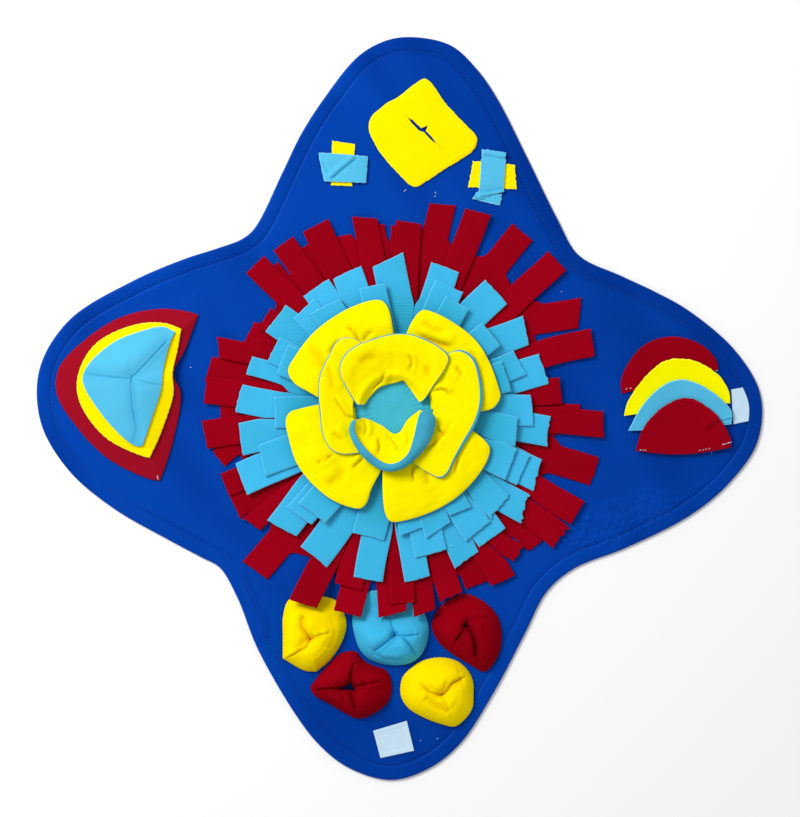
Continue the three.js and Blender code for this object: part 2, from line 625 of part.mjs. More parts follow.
function moonGeometry({ layer, sag, arc }) {
  const arcCurve = smoothCurve(arc, false);
  const right = arcCurve.getPoint(0);
  const left = arcCurve.getPoint(1);
  const seated = ON_BASE + FLEECE_THICKNESS / 2 + layer * MOON_PITCH;
  const place = (u, v) => {
    const edge = arcCurve.getPointAt(u);
    const inset = mix(0.04, 0.96, u);
    const chordY = mix(right.y, left.y, inset) - sag * Math.sin(Math.PI * inset);
    const x = mix(mix(right.x, left.x, inset), edge.x, v);
    const y = mix(chordY, edge.y, v);
    const free = Math.sin(Math.PI * u) * v * v;
    return new THREE.Vector3(x, y, seated + MOON_LIFT * free);
  };
  return gridSheet(place, 12, 3, FLEECE_THICKNESS);
}

// ---------- tabs, slit patch and white patches ----------

// Tabs: layer and the corners, anticlockwise from the lower left: x, y.
const TABS = {
  tab_w_yellow: { layer: 0, corners: [[-65, 212], [-45, 211], [-42, 251], [-64, 254]] },
  tab_w_blue: { layer: 1, corners: [[-72, 216], [-30, 213], [-30, 239], [-77, 243]] },
  tab_e_yellow: { layer: 0, corners: [[65, 210], [112, 208.5], [110, 229], [70, 235]] },
  tab_e_blue: { layer: 1, corners: [[72, 198], [98, 200], [102, 240.5], [78, 246]] },
};
const TAB_PITCH = 2.3;
const TAB_DROOP = 1.1; // the ends of the upper tab sink past the lower one's edges

function tabGeometry({ layer, corners }) {
  const [c0, c1, c2, c3] = corners;
  const wide = c1[0] - c0[0] > c3[1] - c0[1];
  const seated = ON_BASE + FLEECE_THICKNESS / 2 + layer * TAB_PITCH;
  const place = (u, v) => {
    const x = mix(mix(c1[0], c0[0], u), mix(c2[0], c3[0], u), v);
    const y = mix(mix(c1[1], c0[1], u), mix(c2[1], c3[1], u), v);
    const along = Math.abs(2 * (wide ? u : v) - 1);
    return new THREE.Vector3(x, y, seated - layer * TAB_DROOP * along ** 4);
  };
  return gridSheet(place, wide ? 6 : 2, wide ? 2 : 6, FLEECE_THICKNESS);
}

const SLIT_PATCH = [[23.5, 313], [30, 309.5], [43, 291], [63.5, 269], [73.5, 258], [73.5, 251],
  [68, 243], [43, 227], [24, 214.5], [17, 210.5], [10.5, 212], [-3, 225], [-19, 244], [-29, 265],
  [-27, 276], [-14.5, 288], [0.5, 297], [15.5, 309]];
// The two crossing cuts, as one star-shaped hole.
const SLIT_CUT = [[6, 278.5], [12, 270.5], [18.6, 263.8], [22.5, 262.3], [29, 256], [37.5, 248.5],
  [30.5, 257.8], [25, 263.3], [27, 268.5], [20.8, 265.8], [13.6, 272.5]];
const PATCH_RIGHT = [[315, 18], [326, 20], [330, 8], [332, -9], [331, -12], [317, -15], [315, -2]];
const PATCH_BOTTOM = [[-25, -306], [-18, -332], [14, -325], [7, -296.5]];

// A flat piece of cloth on the base, with an optional cut through it.
function flatGeometry(outline, thickness, cut) {
  const shape = new THREE.Shape(outline.map(([x, y]) => new THREE.Vector2(x, y)));
  if (cut) shape.holes.push(new THREE.Path(cut.map(([x, y]) => new THREE.Vector2(x, y))));
  const geometry = new THREE.ExtrudeGeometry(shape, { depth: thickness, bevelEnabled: false });
  geometry.translate(0, 0, ON_BASE);
  return geometry;
}

// ---------- domed pouches ----------

// Section of a pouch from its sewn rim to its mouth: share of the way in, share of the height.
const POD_SECTION = [[0, 0], [0.1, 0.3], [0.22, 0.58], [0.4, 0.85], [0.62, 0.98], [0.82, 0.96], [1, 0.8]];
// The side towards the flower stays flat under the strips: radius where it starts to rise, and ends.
const POD_TUCK = { from: 186, to: 220 };
const POD_CREASE_WIDTH = 11; // degrees

// Pouches: rise, mouth radius, mouth's x and y, creases (direction in degrees, depth),
// and the sewn rim's x, y points.
const PODS = {
  pod_w_yellow: {
    rise: 16, mouthRadius: 5, mouth: [-84, -217], creases: [[105, 2], [215, 2.5], [30, 1.5]],
    rim: [[-104, -181], [-110, -196], [-110.5, -216], [-110.5, -237, 1], [-90, -248.5],
      [-79, -249.5, 1], [-65, -237.5], [-52.5, -215.5], [-51, -200], [-61, -182], [-80, -178]],
  },
  pod_n_blue: {
    rise: 16, mouthRadius: 5, mouth: [-4, -215], creases: [[3, 2], [108, 1.5], [216, 2.5], [304, 2]],
    rim: [[-26, -173], [-40, -184], [-44.5, -199], [-43, -212.5], [-38, -227.5], [-31, -236],
      [-21, -241], [-4, -243.5], [11, -241], [20.5, -233.5], [26.5, -220], [27.5, -207.5],
      [24, -195.5], [16, -183], [-5, -178]],
  },
  pod_e_red: {
    rise: 16, mouthRadius: 5, mouth: [63, -206], creases: [[100, 1], [240, 2.5], [288, 2.5]],
    rim: [[62, -176], [77, -181.5], [91, -194.5], [96, -208], [95.5, -228], [89, -242], [81, -249.5],
      [66, -242], [51, -233], [37, -221], [31, -206], [36.5, -191], [48, -181]],
  },
  pod_sw_red: {
    rise: 15, mouthRadius: 6.5, mouth: [-49, -265], creases: [[25, 1.5], [95, 2], [175, 2], [260, 2]],
    rim: [[-84, -265], [-80, -258.5], [-67, -243.5], [-55, -232.5], [-42, -231], [-34, -239.5],
      [-23, -245], [-14, -248], [-9.5, -254], [-7.5, -267], [-11.5, -279], [-24, -289], [-38.5, -294],
      [-51, -289], [-68, -279], [-80.5, -272]],
  },
  pod_se_yellow: {
    rise: 15, mouthRadius: 5, mouth: [40, -271], creases: [[55, 2], [160, 2.5], [300, 1.5]],
    rim: [[1, -264.5], [3.5, -254.5], [12.5, -245.5], [22.5, -239.5], [38, -236.5], [52.5, -239],
      [62.5, -246], [69, -257], [70, -272], [69, -284], [62.5, -294], [52.5, -301.5], [40.5, -299.5],
      [23, -293], [8.5, -284], [2, -274]],
  },
};
const POD_COLUMNS = 24;

function podGeometry({ rise, mouthRadius, mouth, creases, rim }) {
  const outline = sampleOutline(rim, POD_COLUMNS);
  const seated = ON_BASE + POD_THICKNESS / 2;
  const [mx, my] = mouth;
  const rings = POD_SECTION.length - 1;
  const place = (u, v) => {
    const edge = outline[Math.round(u * POD_COLUMNS) % POD_COLUMNS];
    const angle = Math.atan2(edge.y - my, edge.x - mx);
    const [share, high] = POD_SECTION[rings - Math.round(v * rings)];
    const x = mix(edge.x, mx + mouthRadius * Math.cos(angle), share);
    const y = mix(edge.y, my + mouthRadius * Math.sin(angle), share);
    const tuck = smoothStep(POD_TUCK.from, POD_TUCK.to, Math.hypot(x, y));
    const fold = creases.reduce((sum, [direction, depth]) => {
      const turn = angle - radians(direction);
      const off = Math.atan2(Math.sin(turn), Math.cos(turn)) / radians(POD_CREASE_WIDTH);
      return sum + depth * Math.exp(-off * off);
    }, 0);
    const pressed = fold * smoothStep(0.05, 0.4, share) * tuck;
    return new THREE.Vector3(x, y, seated + rise * high * tuck - pressed);
  };
  return gridSheet(place, POD_COLUMNS, rings, POD_THICKNESS, true);
}

// ---------- the mat ----------

const mat = new THREE.Group();

function addPiece(name, geometry, color, roughness = 0.95) {
  const material = new THREE.MeshStandardMaterial({ color, roughness, metalness: 0 });
  const mesh = new THREE.Mesh(geometry, material);
  mesh.name = name;
  mat.add(mesh);
}

addPiece('base_mat', baseGeometry(), BLUE, 0.6);
addPiece('red_fringe_lower', fringeGeometry(RED_LOWER, 0, RED_WEB), RED);
addPiece('red_fringe_upper', fringeGeometry(RED_UPPER, 1, NO_WEB), RED);
addPiece('blue_fringe_lower', fringeGeometry(BLUE_LOWER, 2, BLUE_WEB), LIGHT_BLUE);
addPiece('blue_fringe_middle', fringeGeometry(BLUE_MIDDLE, 3, NO_WEB), LIGHT_BLUE);
addPiece('blue_fringe_upper', fringeGeometry(BLUE_UPPER, 4, NO_WEB), LIGHT_BLUE);
addPiece('flower_heart', heartGeometry(), LIGHT_BLUE);
Object.entries(PETALS).forEach(([name, petal]) => addPiece(name, petalGeometry(petal), YELLOW));
addPiece('petal_inner_s', cupGeometry(), YELLOW);
addPiece('leaf_red', leafGeometry(LEAF_RED, 0), RED);
addPiece('leaf_yellow', leafGeometry(LEAF_YELLOW, 1), YELLOW);
addPiece('leaf_blue', leafGeometry(LEAF_BLUE, 2), LIGHT_BLUE);

const MOON_COLOURS = [RED, YELLOW, LIGHT_BLUE, RED];
Object.entries(MOONS).forEach(([name, moon]) => {
  addPiece(name, moonGeometry(moon), MOON_COLOURS[moon.layer]);
});
Object.entries(TABS).forEach(([name, tab]) => {
  addPiece(name, tabGeometry(tab), tab.layer === 0 ? YELLOW : LIGHT_BLUE);
});

const slitOutline = sampleOutline(SLIT_PATCH, 36).map((p) => [p.x, p.y]);
addPiece('slit_patch', flatGeometry(slitOutline, FLEECE_THICKNESS, SLIT_CUT), YELLOW);
addPiece('patch_right', flatGeometry(PATCH_RIGHT, PATCH_THICKNESS), WHITE, 0.7);
addPiece('patch_bottom', flatGeometry(PATCH_BOTTOM, PATCH_THICKNESS), WHITE, 0.7);

const POD_COLOURS = { yellow: YELLOW, blue: LIGHT_BLUE, red: RED };
Object.entries(PODS).forEach(([name, pod]) => {
  addPiece(name, podGeometry(pod), POD_COLOURS[name.split('_').pop()]);
});

export default mat;
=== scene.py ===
# %% [markdown]
# # A snuffle mat in felt-soft fleece
# A snuffle mat is a flat cloth in which food is hidden for a dog to find. This one has a four-lobed
# base, rows of fleece strips round a fleece flower, and small pockets sewn on its lobes. The packed
# frame gives every piece its place. Each cloth is built again here, finer, on the same lines.

# %% Frame
import math

import bpy
import numpy as np
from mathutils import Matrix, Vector


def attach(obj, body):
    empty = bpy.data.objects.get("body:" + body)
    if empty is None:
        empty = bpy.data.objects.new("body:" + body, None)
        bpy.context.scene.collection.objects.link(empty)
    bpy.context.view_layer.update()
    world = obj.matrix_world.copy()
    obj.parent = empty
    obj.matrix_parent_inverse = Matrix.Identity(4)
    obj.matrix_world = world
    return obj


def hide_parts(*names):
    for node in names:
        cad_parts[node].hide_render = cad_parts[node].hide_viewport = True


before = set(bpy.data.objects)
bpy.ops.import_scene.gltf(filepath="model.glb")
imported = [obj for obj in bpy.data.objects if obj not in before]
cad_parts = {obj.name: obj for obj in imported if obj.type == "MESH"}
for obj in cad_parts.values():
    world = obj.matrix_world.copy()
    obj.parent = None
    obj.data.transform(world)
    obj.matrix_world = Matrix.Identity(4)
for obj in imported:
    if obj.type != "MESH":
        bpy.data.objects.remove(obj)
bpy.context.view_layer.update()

MM = 0.001  # every table below is in millimetres; Blender works in metres

# %% [markdown]
# ## Camera
# The mat is seen from straight above. A long lens from far away keeps the raised flower from
# looking larger than the cloth under it. Blender's sensor width belongs to the longer side.

# %% Camera
VIEW_HEIGHT = 3.0  # metres above the base
VIEW_SPAN = 776.0  # millimetres of floor along the longer side of the view
VIEW_SIDESTEP = 0.5
BASE_THICKNESS = 3.0
camera_data = bpy.data.cameras.new("camera")
camera_data.sensor_width = 36.0
camera_data.lens = camera_data.sensor_width * VIEW_HEIGHT / (VIEW_SPAN * MM)
camera = bpy.data.objects.new("camera", camera_data)
camera.location = (VIEW_SIDESTEP * MM, 0.0, VIEW_HEIGHT + BASE_THICKNESS * MM)
bpy.context.scene.collection.objects.link(camera)
bpy.context.scene.camera = camera
print("lens:", round(camera_data.lens, 1), "mm")

# %% [markdown]
# ## Curves and relief
# A cut cloth is an outline, and a laid cloth is that outline with soft relief on it. So two kinds
# of helper do most of the work. One kind runs a smooth curve through a few marked points, as a
# pattern cutter does. The other kind gives heights: steps, random waves, and creases along a line.


# %% Smooth steps and curves
def smooth_step(start, end, value):
    t = np.clip((value - start) / (end - start), 0, 1)
    return t * t * (3 - 2 * t)


def curve_at(points, t, closed=False):
    """Places on a centripetal Catmull-Rom curve; t runs from 0 to 1 over the marked points."""
    p = np.asarray(points, float)
    if closed:
        p = np.concatenate([p[-1:], p, p[:2]])
    else:
        p = np.concatenate([2 * p[:1] - p[1:2], p, 2 * p[-1:] - p[-2:-1]])
    spans = len(p) - 3
    place = np.clip(np.asarray(t, float) * spans, 0, spans - 1e-9)
    i = place.astype(int)
    w = (place - i).reshape(-1, *[1] * (p.ndim - 1))
    a, b, c, d = p[i], p[i + 1], p[i + 2], p[i + 3]
    gap = [np.maximum(np.linalg.norm(y - x, axis=-1, keepdims=True), 1e-6) ** 0.5
           for x, y in ((a, b), (b, c), (c, d))]
    slope1 = ((b - a) / gap[0] - (c - a) / (gap[0] + gap[1]) + (c - b) / gap[1]) * gap[1]
    slope2 = ((c - b) / gap[1] - (d - b) / (gap[1] + gap[2]) + (d - c) / gap[2]) * gap[1]
    return (b + slope1 * w + (3 * (c - b) - 2 * slope1 - slope2) * w**2
            + (2 * (b - c) + slope1 + slope2) * w**3)


def even_places(points, shares, closed=False):
    """Places at the given shares of the curve's length."""
    dense = curve_at(points, np.linspace(0, 1, 40 * len(points) + 1), closed)
    run = np.concatenate([[0], np.cumsum(np.linalg.norm(np.diff(dense, axis=0), axis=1))])
    at = np.asarray(shares) * run[-1]
    return np.stack([np.interp(at, run, dense[:, k]) for k in range(dense.shape[1])], axis=-1)


def round_outline(marks, count):
    """Even places round a closed outline, anticlockwise. A mark with a third number is a sharp corner."""
    flat = [tuple(mark)[:2] for mark in marks]
    corners = [i for i, mark in enumerate(marks) if len(mark) > 2]
    if corners:
        ends = corners[1:] + [corners[0] + len(flat)]
        runs = [[flat[i % len(flat)] for i in range(start, end + 1)] for start, end in zip(corners, ends)]
        lengths = np.array([np.linalg.norm(np.diff(run, axis=0), axis=1).sum() for run in runs])
        counts = np.round(count * lengths / lengths.sum()).astype(int)
        counts[-1] += count - counts.sum()
        places = np.concatenate([even_places(run, np.arange(n) / n) for run, n in zip(runs, counts)])
    else:
        places = even_places(flat, np.arange(count) / count, closed=True)
    following = np.roll(places, -1, axis=0)
    area = np.sum(places[:, 0] * following[:, 1] - following[:, 0] * places[:, 1])
    return places if area > 0 else places[::-1]


def reach_of(outline, centre, turn):
    """How far a closed outline lies from a place inside it, in each direction."""
    p, q = outline - centre, np.roll(outline, -1, axis=0) - centre
    edge = q - p
    turn = np.asarray(turn)[..., None]
    dx, dy = np.cos(turn), np.sin(turn)
    cross = dx * edge[:, 1] - dy * edge[:, 0]
    cross = np.where(np.abs(cross) < 1e-12, 1e-12, cross)
    away = (p[:, 0] * edge[:, 1] - p[:, 1] * edge[:, 0]) / cross
    share = (p[:, 0] * dy - p[:, 1] * dx) / cross
    return np.where((away > 0) & (share >= -1e-9) & (share <= 1 + 1e-9), away, 0).max(axis=-1)


# %% Waves, creases and edges
def ripple(x, y, span, seed):
    """Soft random waves between about -1 and 1, each roughly span millimetres long."""
    draw = np.random.default_rng(seed)
    total = 0
    for turn, stretch, phase in draw.uniform((0, 0.7, 0), (2 * np.pi, 1.4, 2 * np.pi), (7, 3)):
        total = total + np.sin(2 * np.pi / (span * stretch) * (x * np.cos(turn) + y * np.sin(turn)) + phase)
    return total / 3.2


def from_line(x, y, line):
    """Distance to a line of points, share of the way along it, and the side: 1 is its left."""
    line = np.asarray(line, float)
    lengths = np.linalg.norm(np.diff(line, axis=0), axis=1)
    start = np.concatenate([[0], np.cumsum(lengths)])
    away = np.full(np.shape(x), 1e9)
    share = np.zeros(np.shape(x))
    side = np.ones(np.shape(x))
    for (ax, ay), (bx, by), length, before in zip(line, line[1:], lengths, start):
        ux, uy = (bx - ax) / length, (by - ay) / length
        run = np.clip((x - ax) * ux + (y - ay) * uy, 0, length)
        gap = np.hypot(x - ax - run * ux, y - ay - run * uy)
        nearer = gap < away
        away = np.where(nearer, gap, away)
        share = np.where(nearer, (before + run) / start[-1], share)
        side = np.where(nearer, np.sign(ux * (y - ay) - uy * (x - ax)), side)
    return away, share, side


def creases_on(x, y, creases, fade=0.25):
    """Height that creases give a cloth, and how folded it is, from 0 to 1. Each crease is a line, a
    width, a depth and a bank: above 0 its left side swells, and below 0 its right side."""
    height, folded = np.zeros(np.shape(x)), np.zeros(np.shape(x))
    for line, width, depth, bank in creases:
        away, share, side = from_line(x, y, line)
        strength = smooth_step(0, fade, share) * smooth_step(0, fade, 1 - share) if fade else 1.0
        swell = np.abs(bank) * (side == np.sign(bank)) * (away / width) * np.exp(-((away / width / 1.9) ** 2))
        swell = swell * smooth_step(0, 0.12, share) * smooth_step(0, 0.12, 1 - share)
        height += strength * (1.6 * swell - depth * np.exp(-((away / width) ** 2)))
        # folded also sets how much painted shade the materials put into each crease.
        folded = np.maximum(folded, strength * min(1, depth / 2.2) * np.exp(-((away / width / 0.7) ** 2)))
    return height, folded


def round_edge(inset, radius):
    """Share of a cloth's half thickness at a distance in from its cut edge."""
    t = 1 - np.clip(inset / radius, 0, 1)
    return np.sqrt(np.maximum(1 - t * t, 0.02))


# %% [markdown]
# ## Closed sheets
# Cloth has two faces and a cut edge between them. A sheet is made as one middle surface, which is
# pushed out along its normals to an upper and a lower skin, and the open edges are walled. That
# leaves a watertight mesh. A Solidify modifier does the same, but here the thickness has to thin
# out towards a cut edge, and each skin carries its own numbers for the material to read.


# %% Grids of places
def spread(count):
    """Shares from 0 to 1 that lie closer together near both ends."""
    return 0.5 - 0.5 * np.cos(np.linspace(0, np.pi, count))


def spread_to_rim(count):
    """Shares from 0 to 1 that lie closer together near 1."""
    return np.sin(np.linspace(0, np.pi / 2, count))


def rings_inwards(count):
    """Shares of the way out from the middle, from 1 at the rim to nearly 0."""
    return np.sin(np.linspace(np.pi / 2, 0.02, count))


def as_rows(x, y, z):
    """The places of a grid, one row each, in the order that grid_faces numbers them."""
    return np.stack([x, y, z], axis=-1).reshape(-1, 3)


def run_along(places):
    """Distance along a line of places, from 0 at the first."""
    return np.concatenate([[0], np.cumsum(np.linalg.norm(np.diff(places, axis=0), axis=1))])


def grid_faces(columns, rows, closed=False):
    """Four-sided faces of a grid whose places are numbered row by row within each column."""
    i = np.arange(columns if closed else columns - 1)[:, None]
    j = np.arange(rows - 1)[None, :]
    a = i * rows + j
    b = ((i + 1) % columns) * rows + j
    return np.stack([a, a + 1, b + 1, b], axis=-1).reshape(-1, 4)


def disc_faces(columns, rings):
    """Faces of rings that run inwards and close on one middle place, numbered last."""
    last = np.arange(columns) * rings + rings - 1
    return [grid_faces(columns, rings, closed=True)[:, ::-1],
            np.stack([last, np.roll(last, -1), np.full(columns, columns * rings)], axis=1)]


# %% Sheet meshes
def skins(middle, faces, half):
    """The upper and the lower skin of a middle surface."""
    normal = np.zeros_like(middle)
    for group in faces:
        p = middle[group]
        last = p[:, 3] if group.shape[1] == 4 else p[:, 0]
        face_normal = np.cross(p[:, 2] - p[:, 0], last - p[:, 1])
        if group.shape[1] == 3:
            face_normal = np.cross(p[:, 1] - p[:, 0], p[:, 2] - p[:, 0])
        for k in range(group.shape[1]):
            np.add.at(normal, group[:, k], face_normal)
    normal /= np.maximum(np.linalg.norm(normal, axis=1, keepdims=True), 1e-12)
    push = normal * np.reshape(half, (-1, 1))
    return middle + push, middle - push


def sew_mesh(name, upper, lower, faces, marks, material):
    """A closed mesh from two skins that share their faces. marks: {name: (upper, lower) numbers}."""
    count = len(upper)
    edges = np.concatenate([np.stack([g[:, k], np.roll(g, -1, axis=1)[:, k]], axis=1)
                            for g in faces for k in range(g.shape[1])])
    code, back = edges[:, 0] * count + edges[:, 1], edges[:, 1] * count + edges[:, 0]
    open_edges = edges[~np.isin(code, back)]
    a, b = open_edges.T
    every = [face for g in faces for face in g.tolist()]
    every += [face for g in faces for face in (g[:, ::-1] + count).tolist()]
    every += np.stack([a, a + count, b + count, b], axis=1).tolist()
    mesh = bpy.data.meshes.new(name)
    mesh.from_pydata((np.concatenate([upper, lower]) * MM).tolist(), [], every)
    mesh.polygons.foreach_set("use_smooth", np.ones(len(every), bool))
    for mark, (above, below) in marks.items():
        attribute = mesh.attributes.new(mark, "FLOAT", "POINT")
        numbers = np.concatenate([np.broadcast_to(np.ravel(above), count),
                                  np.broadcast_to(np.ravel(below), count)])
        attribute.data.foreach_set("value", numbers.astype(np.float32))
    mesh.materials.append(material)
    mesh.update()
    piece = bpy.data.objects.new(name, mesh)
    bpy.context.scene.collection.objects.link(piece)
    return piece


def sew_sheet(name, middle, faces, half, marks, material):
    """A closed sheet from its middle surface. half is half its thickness at each place."""
    print(f"{name}: {sheet_area(middle, faces):.5f} square metres of cloth")
    return sew_mesh(name, *skins(middle, faces, half), faces, marks, material)


def place_on_frame(piece, node):
    """The finished cloth rides on the mat and stands for its plain solid, where it has one."""
    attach(piece, "root")
    if node:
        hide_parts(node)
    triangles = sum(len(p.vertices) - 2 for p in piece.data.polygons)
    print(f"{piece.name}: {triangles} triangles")
    return piece


def sheet_area(middle, faces):
    """Area of a middle surface, in square metres."""
    total = 0.0
    for group in faces:
        p = middle[group]
        for k in range(1, group.shape[1] - 1):
            total += np.linalg.norm(np.cross(p[:, k] - p[:, 0], p[:, k + 1] - p[:, 0]), axis=1).sum() / 2
    return total * MM * MM


# %% [markdown]
# ## Sewing threads
# Stitches, overlocking and stray ends of thread are all short lengths of the same yarn. One mesh
# of many small round tubes holds each kind of seam, so that a seam catches light as thread does.


# %% Thread meshes
def thread_mesh(name, paths, radius, material):
    """Small closed tubes. paths holds one row of places for each stitch."""
    paths = np.asarray(paths, float)
    stitches, stations = paths.shape[:2]
    sides = 6
    along = np.gradient(paths, axis=1)
    along /= np.maximum(np.linalg.norm(along, axis=2, keepdims=True), 1e-9)
    side = np.cross(along, np.array([0.0, 0.0, 1.0]))
    side /= np.maximum(np.linalg.norm(side, axis=2, keepdims=True), 1e-9)
    up = np.cross(side, along)
    thick = np.full(stations, radius)
    thick[[0, -1]] *= 0.45
    turn = np.arange(sides) * 2 * np.pi / sides
    ring = (side[:, :, None] * np.cos(turn)[:, None] + up[:, :, None] * np.sin(turn)[:, None])
    points = paths[:, :, None] + ring * thick[:, None, None]
    first = np.arange(stitches)[:, None, None] * stations * sides
    row = np.arange(stations - 1)[None, :, None] * sides
    k = np.arange(sides)[None, None, :]
    a = first + row + k
    b = first + row + (k + 1) % sides
    faces = np.stack([a, b, b + sides, a + sides], axis=-1).reshape(-1, 4).tolist()
    for start in first.ravel():
        faces.append(list(range(start + sides - 1, start - 1, -1)))
        end = start + (stations - 1) * sides
        faces.append(list(range(end, end + sides)))
    mesh = bpy.data.meshes.new(name)
    mesh.from_pydata((points.reshape(-1, 3) * MM).tolist(), [], faces)
    mesh.polygons.foreach_set("use_smooth", np.ones(len(faces), bool))
    mesh.materials.append(material)
    piece = bpy.data.objects.new(name, mesh)
    bpy.context.scene.collection.objects.link(piece)
    return piece


# %% [markdown]
# ## Materials
# The mat is made of three kinds of cloth. Polar fleece is brushed polyester: its fibres stand up,
# so it has no gloss at all and its colour looks deep and even. The base is a woven polyester with
# a soft coating, so it has a low satin shine. The small white patches are a plain white tape.
# Every material is a short chain of nodes, and one function adds each node.


# %% Colour and node helpers
def linear(code, alpha=1.0):
    """An sRGB hex colour as Blender's linear numbers."""
    channels = [int(code[i:i + 2], 16) / 255 for i in (1, 3, 5)]
    return [c / 12.92 if c <= 0.04045 else ((c + 0.055) / 1.055) ** 2.4 for c in channels] + [alpha]


def add_node(material, kind, settings=None, links=None):
    """Adds a node. settings name sockets or properties; links give {socket: (node, output)}."""
    node = material.node_tree.nodes.new(kind)
    for key, value in (settings or {}).items():
        if isinstance(key, int) or key in node.inputs:
            node.inputs[key].default_value = value
        else:
            setattr(node, key, value)
    for key, (source, output) in (links or {}).items():
        material.node_tree.links.new(source.outputs[output], node.inputs[key])
    return node


def new_material(name, **surface):
    """A material whose Principled surface has the named sockets set."""
    material = bpy.data.materials.new(name)
    material.use_nodes = True
    shader = material.node_tree.nodes["Principled BSDF"]
    for key, value in surface.items():
        shader.inputs[key.replace("_", " ")].default_value = value
    return material, shader


def join_surface(material, shader, coloured, bump):
    """Every cloth ends with two links: its colour, and the normals that its relief gives."""
    material.node_tree.links.new(coloured.outputs[2], shader.inputs["Base Color"])
    material.node_tree.links.new(bump.outputs["Normal"], shader.inputs["Normal"])
    return material


# %% [markdown]
# ### Polar fleece
# Fleece takes dye a little unevenly and its pile lies this way and that, so two close shades are
# mixed by a broad noise. The pile itself is finer than a pixel. It is drawn about 1.5 mm wide,
# three times its real size, so that it still breaks up the surface. A cut edge shows the paler
# inside of the cloth, and a mark on the mesh says how far each point is from that edge.


# %% Polar fleece
PATCHINESS = 28 * MM  # the size of the lighter and darker patches
PILE = 1.5 * MM
RIB = 2.6 * MM  # fine ribs that a folded strip keeps across its length
NIBBLE = 2.2 * MM  # unevenness of a cut edge


def fleece(name, colour, shade, cut_edge, painted_crease_shade, edge_width=0.7):
    material, shader = new_material(name, Roughness=0.95, Sheen_Weight=0.06, Sheen_Roughness=0.6,
                                    Sheen_Tint=linear(colour), Specular_IOR_Level=0.01)
    place = add_node(material, "ShaderNodeTexCoord")
    patches = add_node(material, "ShaderNodeTexNoise", {"Scale": 1 / PATCHINESS, "Detail": 2.0},
                       {"Vector": (place, "Object")})
    # The mark read here holds a random tone for each strip and, on the blue rows, painted shade that darkens
    # them towards the flower.
    tone_and_painted_light = add_node(material, "ShaderNodeAttribute", {"attribute_name": "tone_and_painted_light"})
    amount = add_node(material, "ShaderNodeMath", {"operation": "MULTIPLY_ADD", 1: 0.7},
                      {0: (patches, "Fac"), 2: (tone_and_painted_light, "Fac")})
    body = add_node(material, "ShaderNodeMix", {"data_type": "RGBA", 6: linear(colour), 7: linear(shade)},
                    {0: (amount, 0)})
    inset = add_node(material, "ShaderNodeAttribute", {"attribute_name": "inset"})
    nibble = add_node(material, "ShaderNodeTexNoise", {"Scale": 1 / NIBBLE, "Detail": 1.0},
                      {"Vector": (place, "Object")})
    ragged = add_node(material, "ShaderNodeMath", {"operation": "MULTIPLY_ADD", 1: 0.9},
                      {0: (nibble, "Fac"), 2: (inset, "Fac")})
    cut = add_node(material, "ShaderNodeMapRange",
                   {"From Min": edge_width + 0.2, "From Max": edge_width + 0.75,
                    "To Min": 1.0, "To Max": 0.0},
                   {"Value": (ragged, 0)})
    coloured = add_node(material, "ShaderNodeMix", {"data_type": "RGBA", 7: linear(cut_edge)},
                        {0: (cut, 0), 6: (body, 2)})
    # Painted shade: the fold mark darkens the cloth along its creases towards its crease colour.
    fold = add_node(material, "ShaderNodeAttribute", {"attribute_name": "fold"})
    coloured = add_node(material, "ShaderNodeMix", {"data_type": "RGBA", 7: linear(painted_crease_shade)},
                        {0: (fold, "Fac"), 6: (coloured, 2)})
    pile = add_node(material, "ShaderNodeTexNoise", {"Scale": 1 / PILE, "Detail": 3.0, "Roughness": 0.6},
                    {"Vector": (place, "Object")})
    along = add_node(material, "ShaderNodeAttribute", {"attribute_name": "along"})
    wobble = add_node(material, "ShaderNodeMath", {"operation": "MULTIPLY_ADD", 1: 3.0},
                      {0: (patches, "Fac"), 2: (along, "Fac")})
    phase = add_node(material, "ShaderNodeMath", {"operation": "MULTIPLY", 1: 2 * math.pi * MM / RIB},
                     {0: (wobble, 0)})
    ribs = add_node(material, "ShaderNodeMath", {"operation": "SINE"}, {0: (phase, 0)})
    where = add_node(material, "ShaderNodeAttribute", {"attribute_name": "ribs"})
    ribbed = add_node(material, "ShaderNodeMath", {"operation": "MULTIPLY"},
                      {0: (ribs, 0), 1: (where, "Fac")})
    uneven = add_node(material, "ShaderNodeMath", {"operation": "MULTIPLY"},
                      {0: (ribbed, 0), 1: (nibble, "Fac")})
    relief = add_node(material, "ShaderNodeMath", {"operation": "MULTIPLY_ADD", 1: 1.5},
                      {0: (uneven, 0), 2: (pile, "Fac")})
    bump = add_node(material, "ShaderNodeBump", {"Strength": 0.35, "Distance": 0.4 * MM},
                    {"Height": (relief, 0)})
    return join_surface(material, shader, coloured, bump)


# Each fleece: its colour, a second dye shade, its cut edge, and the colour of painted shade in its creases.
red_fleece = fleece("polar_fleece_red", "#9A0218", "#8C0214", "#9A0218", "#6A0410")
blue_fleece = fleece("polar_fleece_light_blue", "#43B9EA", "#34A9CC", "#78CCF0", "#2F96C8", 0.4)
yellow_fleece = fleece("polar_fleece_yellow", "#FFEC00", "#FFE300", "#FFF052", "#E6B400", 0.5)
print("fleeces:", red_fleece.name, blue_fleece.name, yellow_fleece.name)

# %% [markdown]
# ### Bonded fleece
# The petals are yellow and light-blue fleece glued back to back. The blue backing peeps out at the
# rim. The mark called facing is how far in from the blue rim a point lies on the yellow face, and
# is below zero on the back, so one comparison gives both the two faces and the line between them.


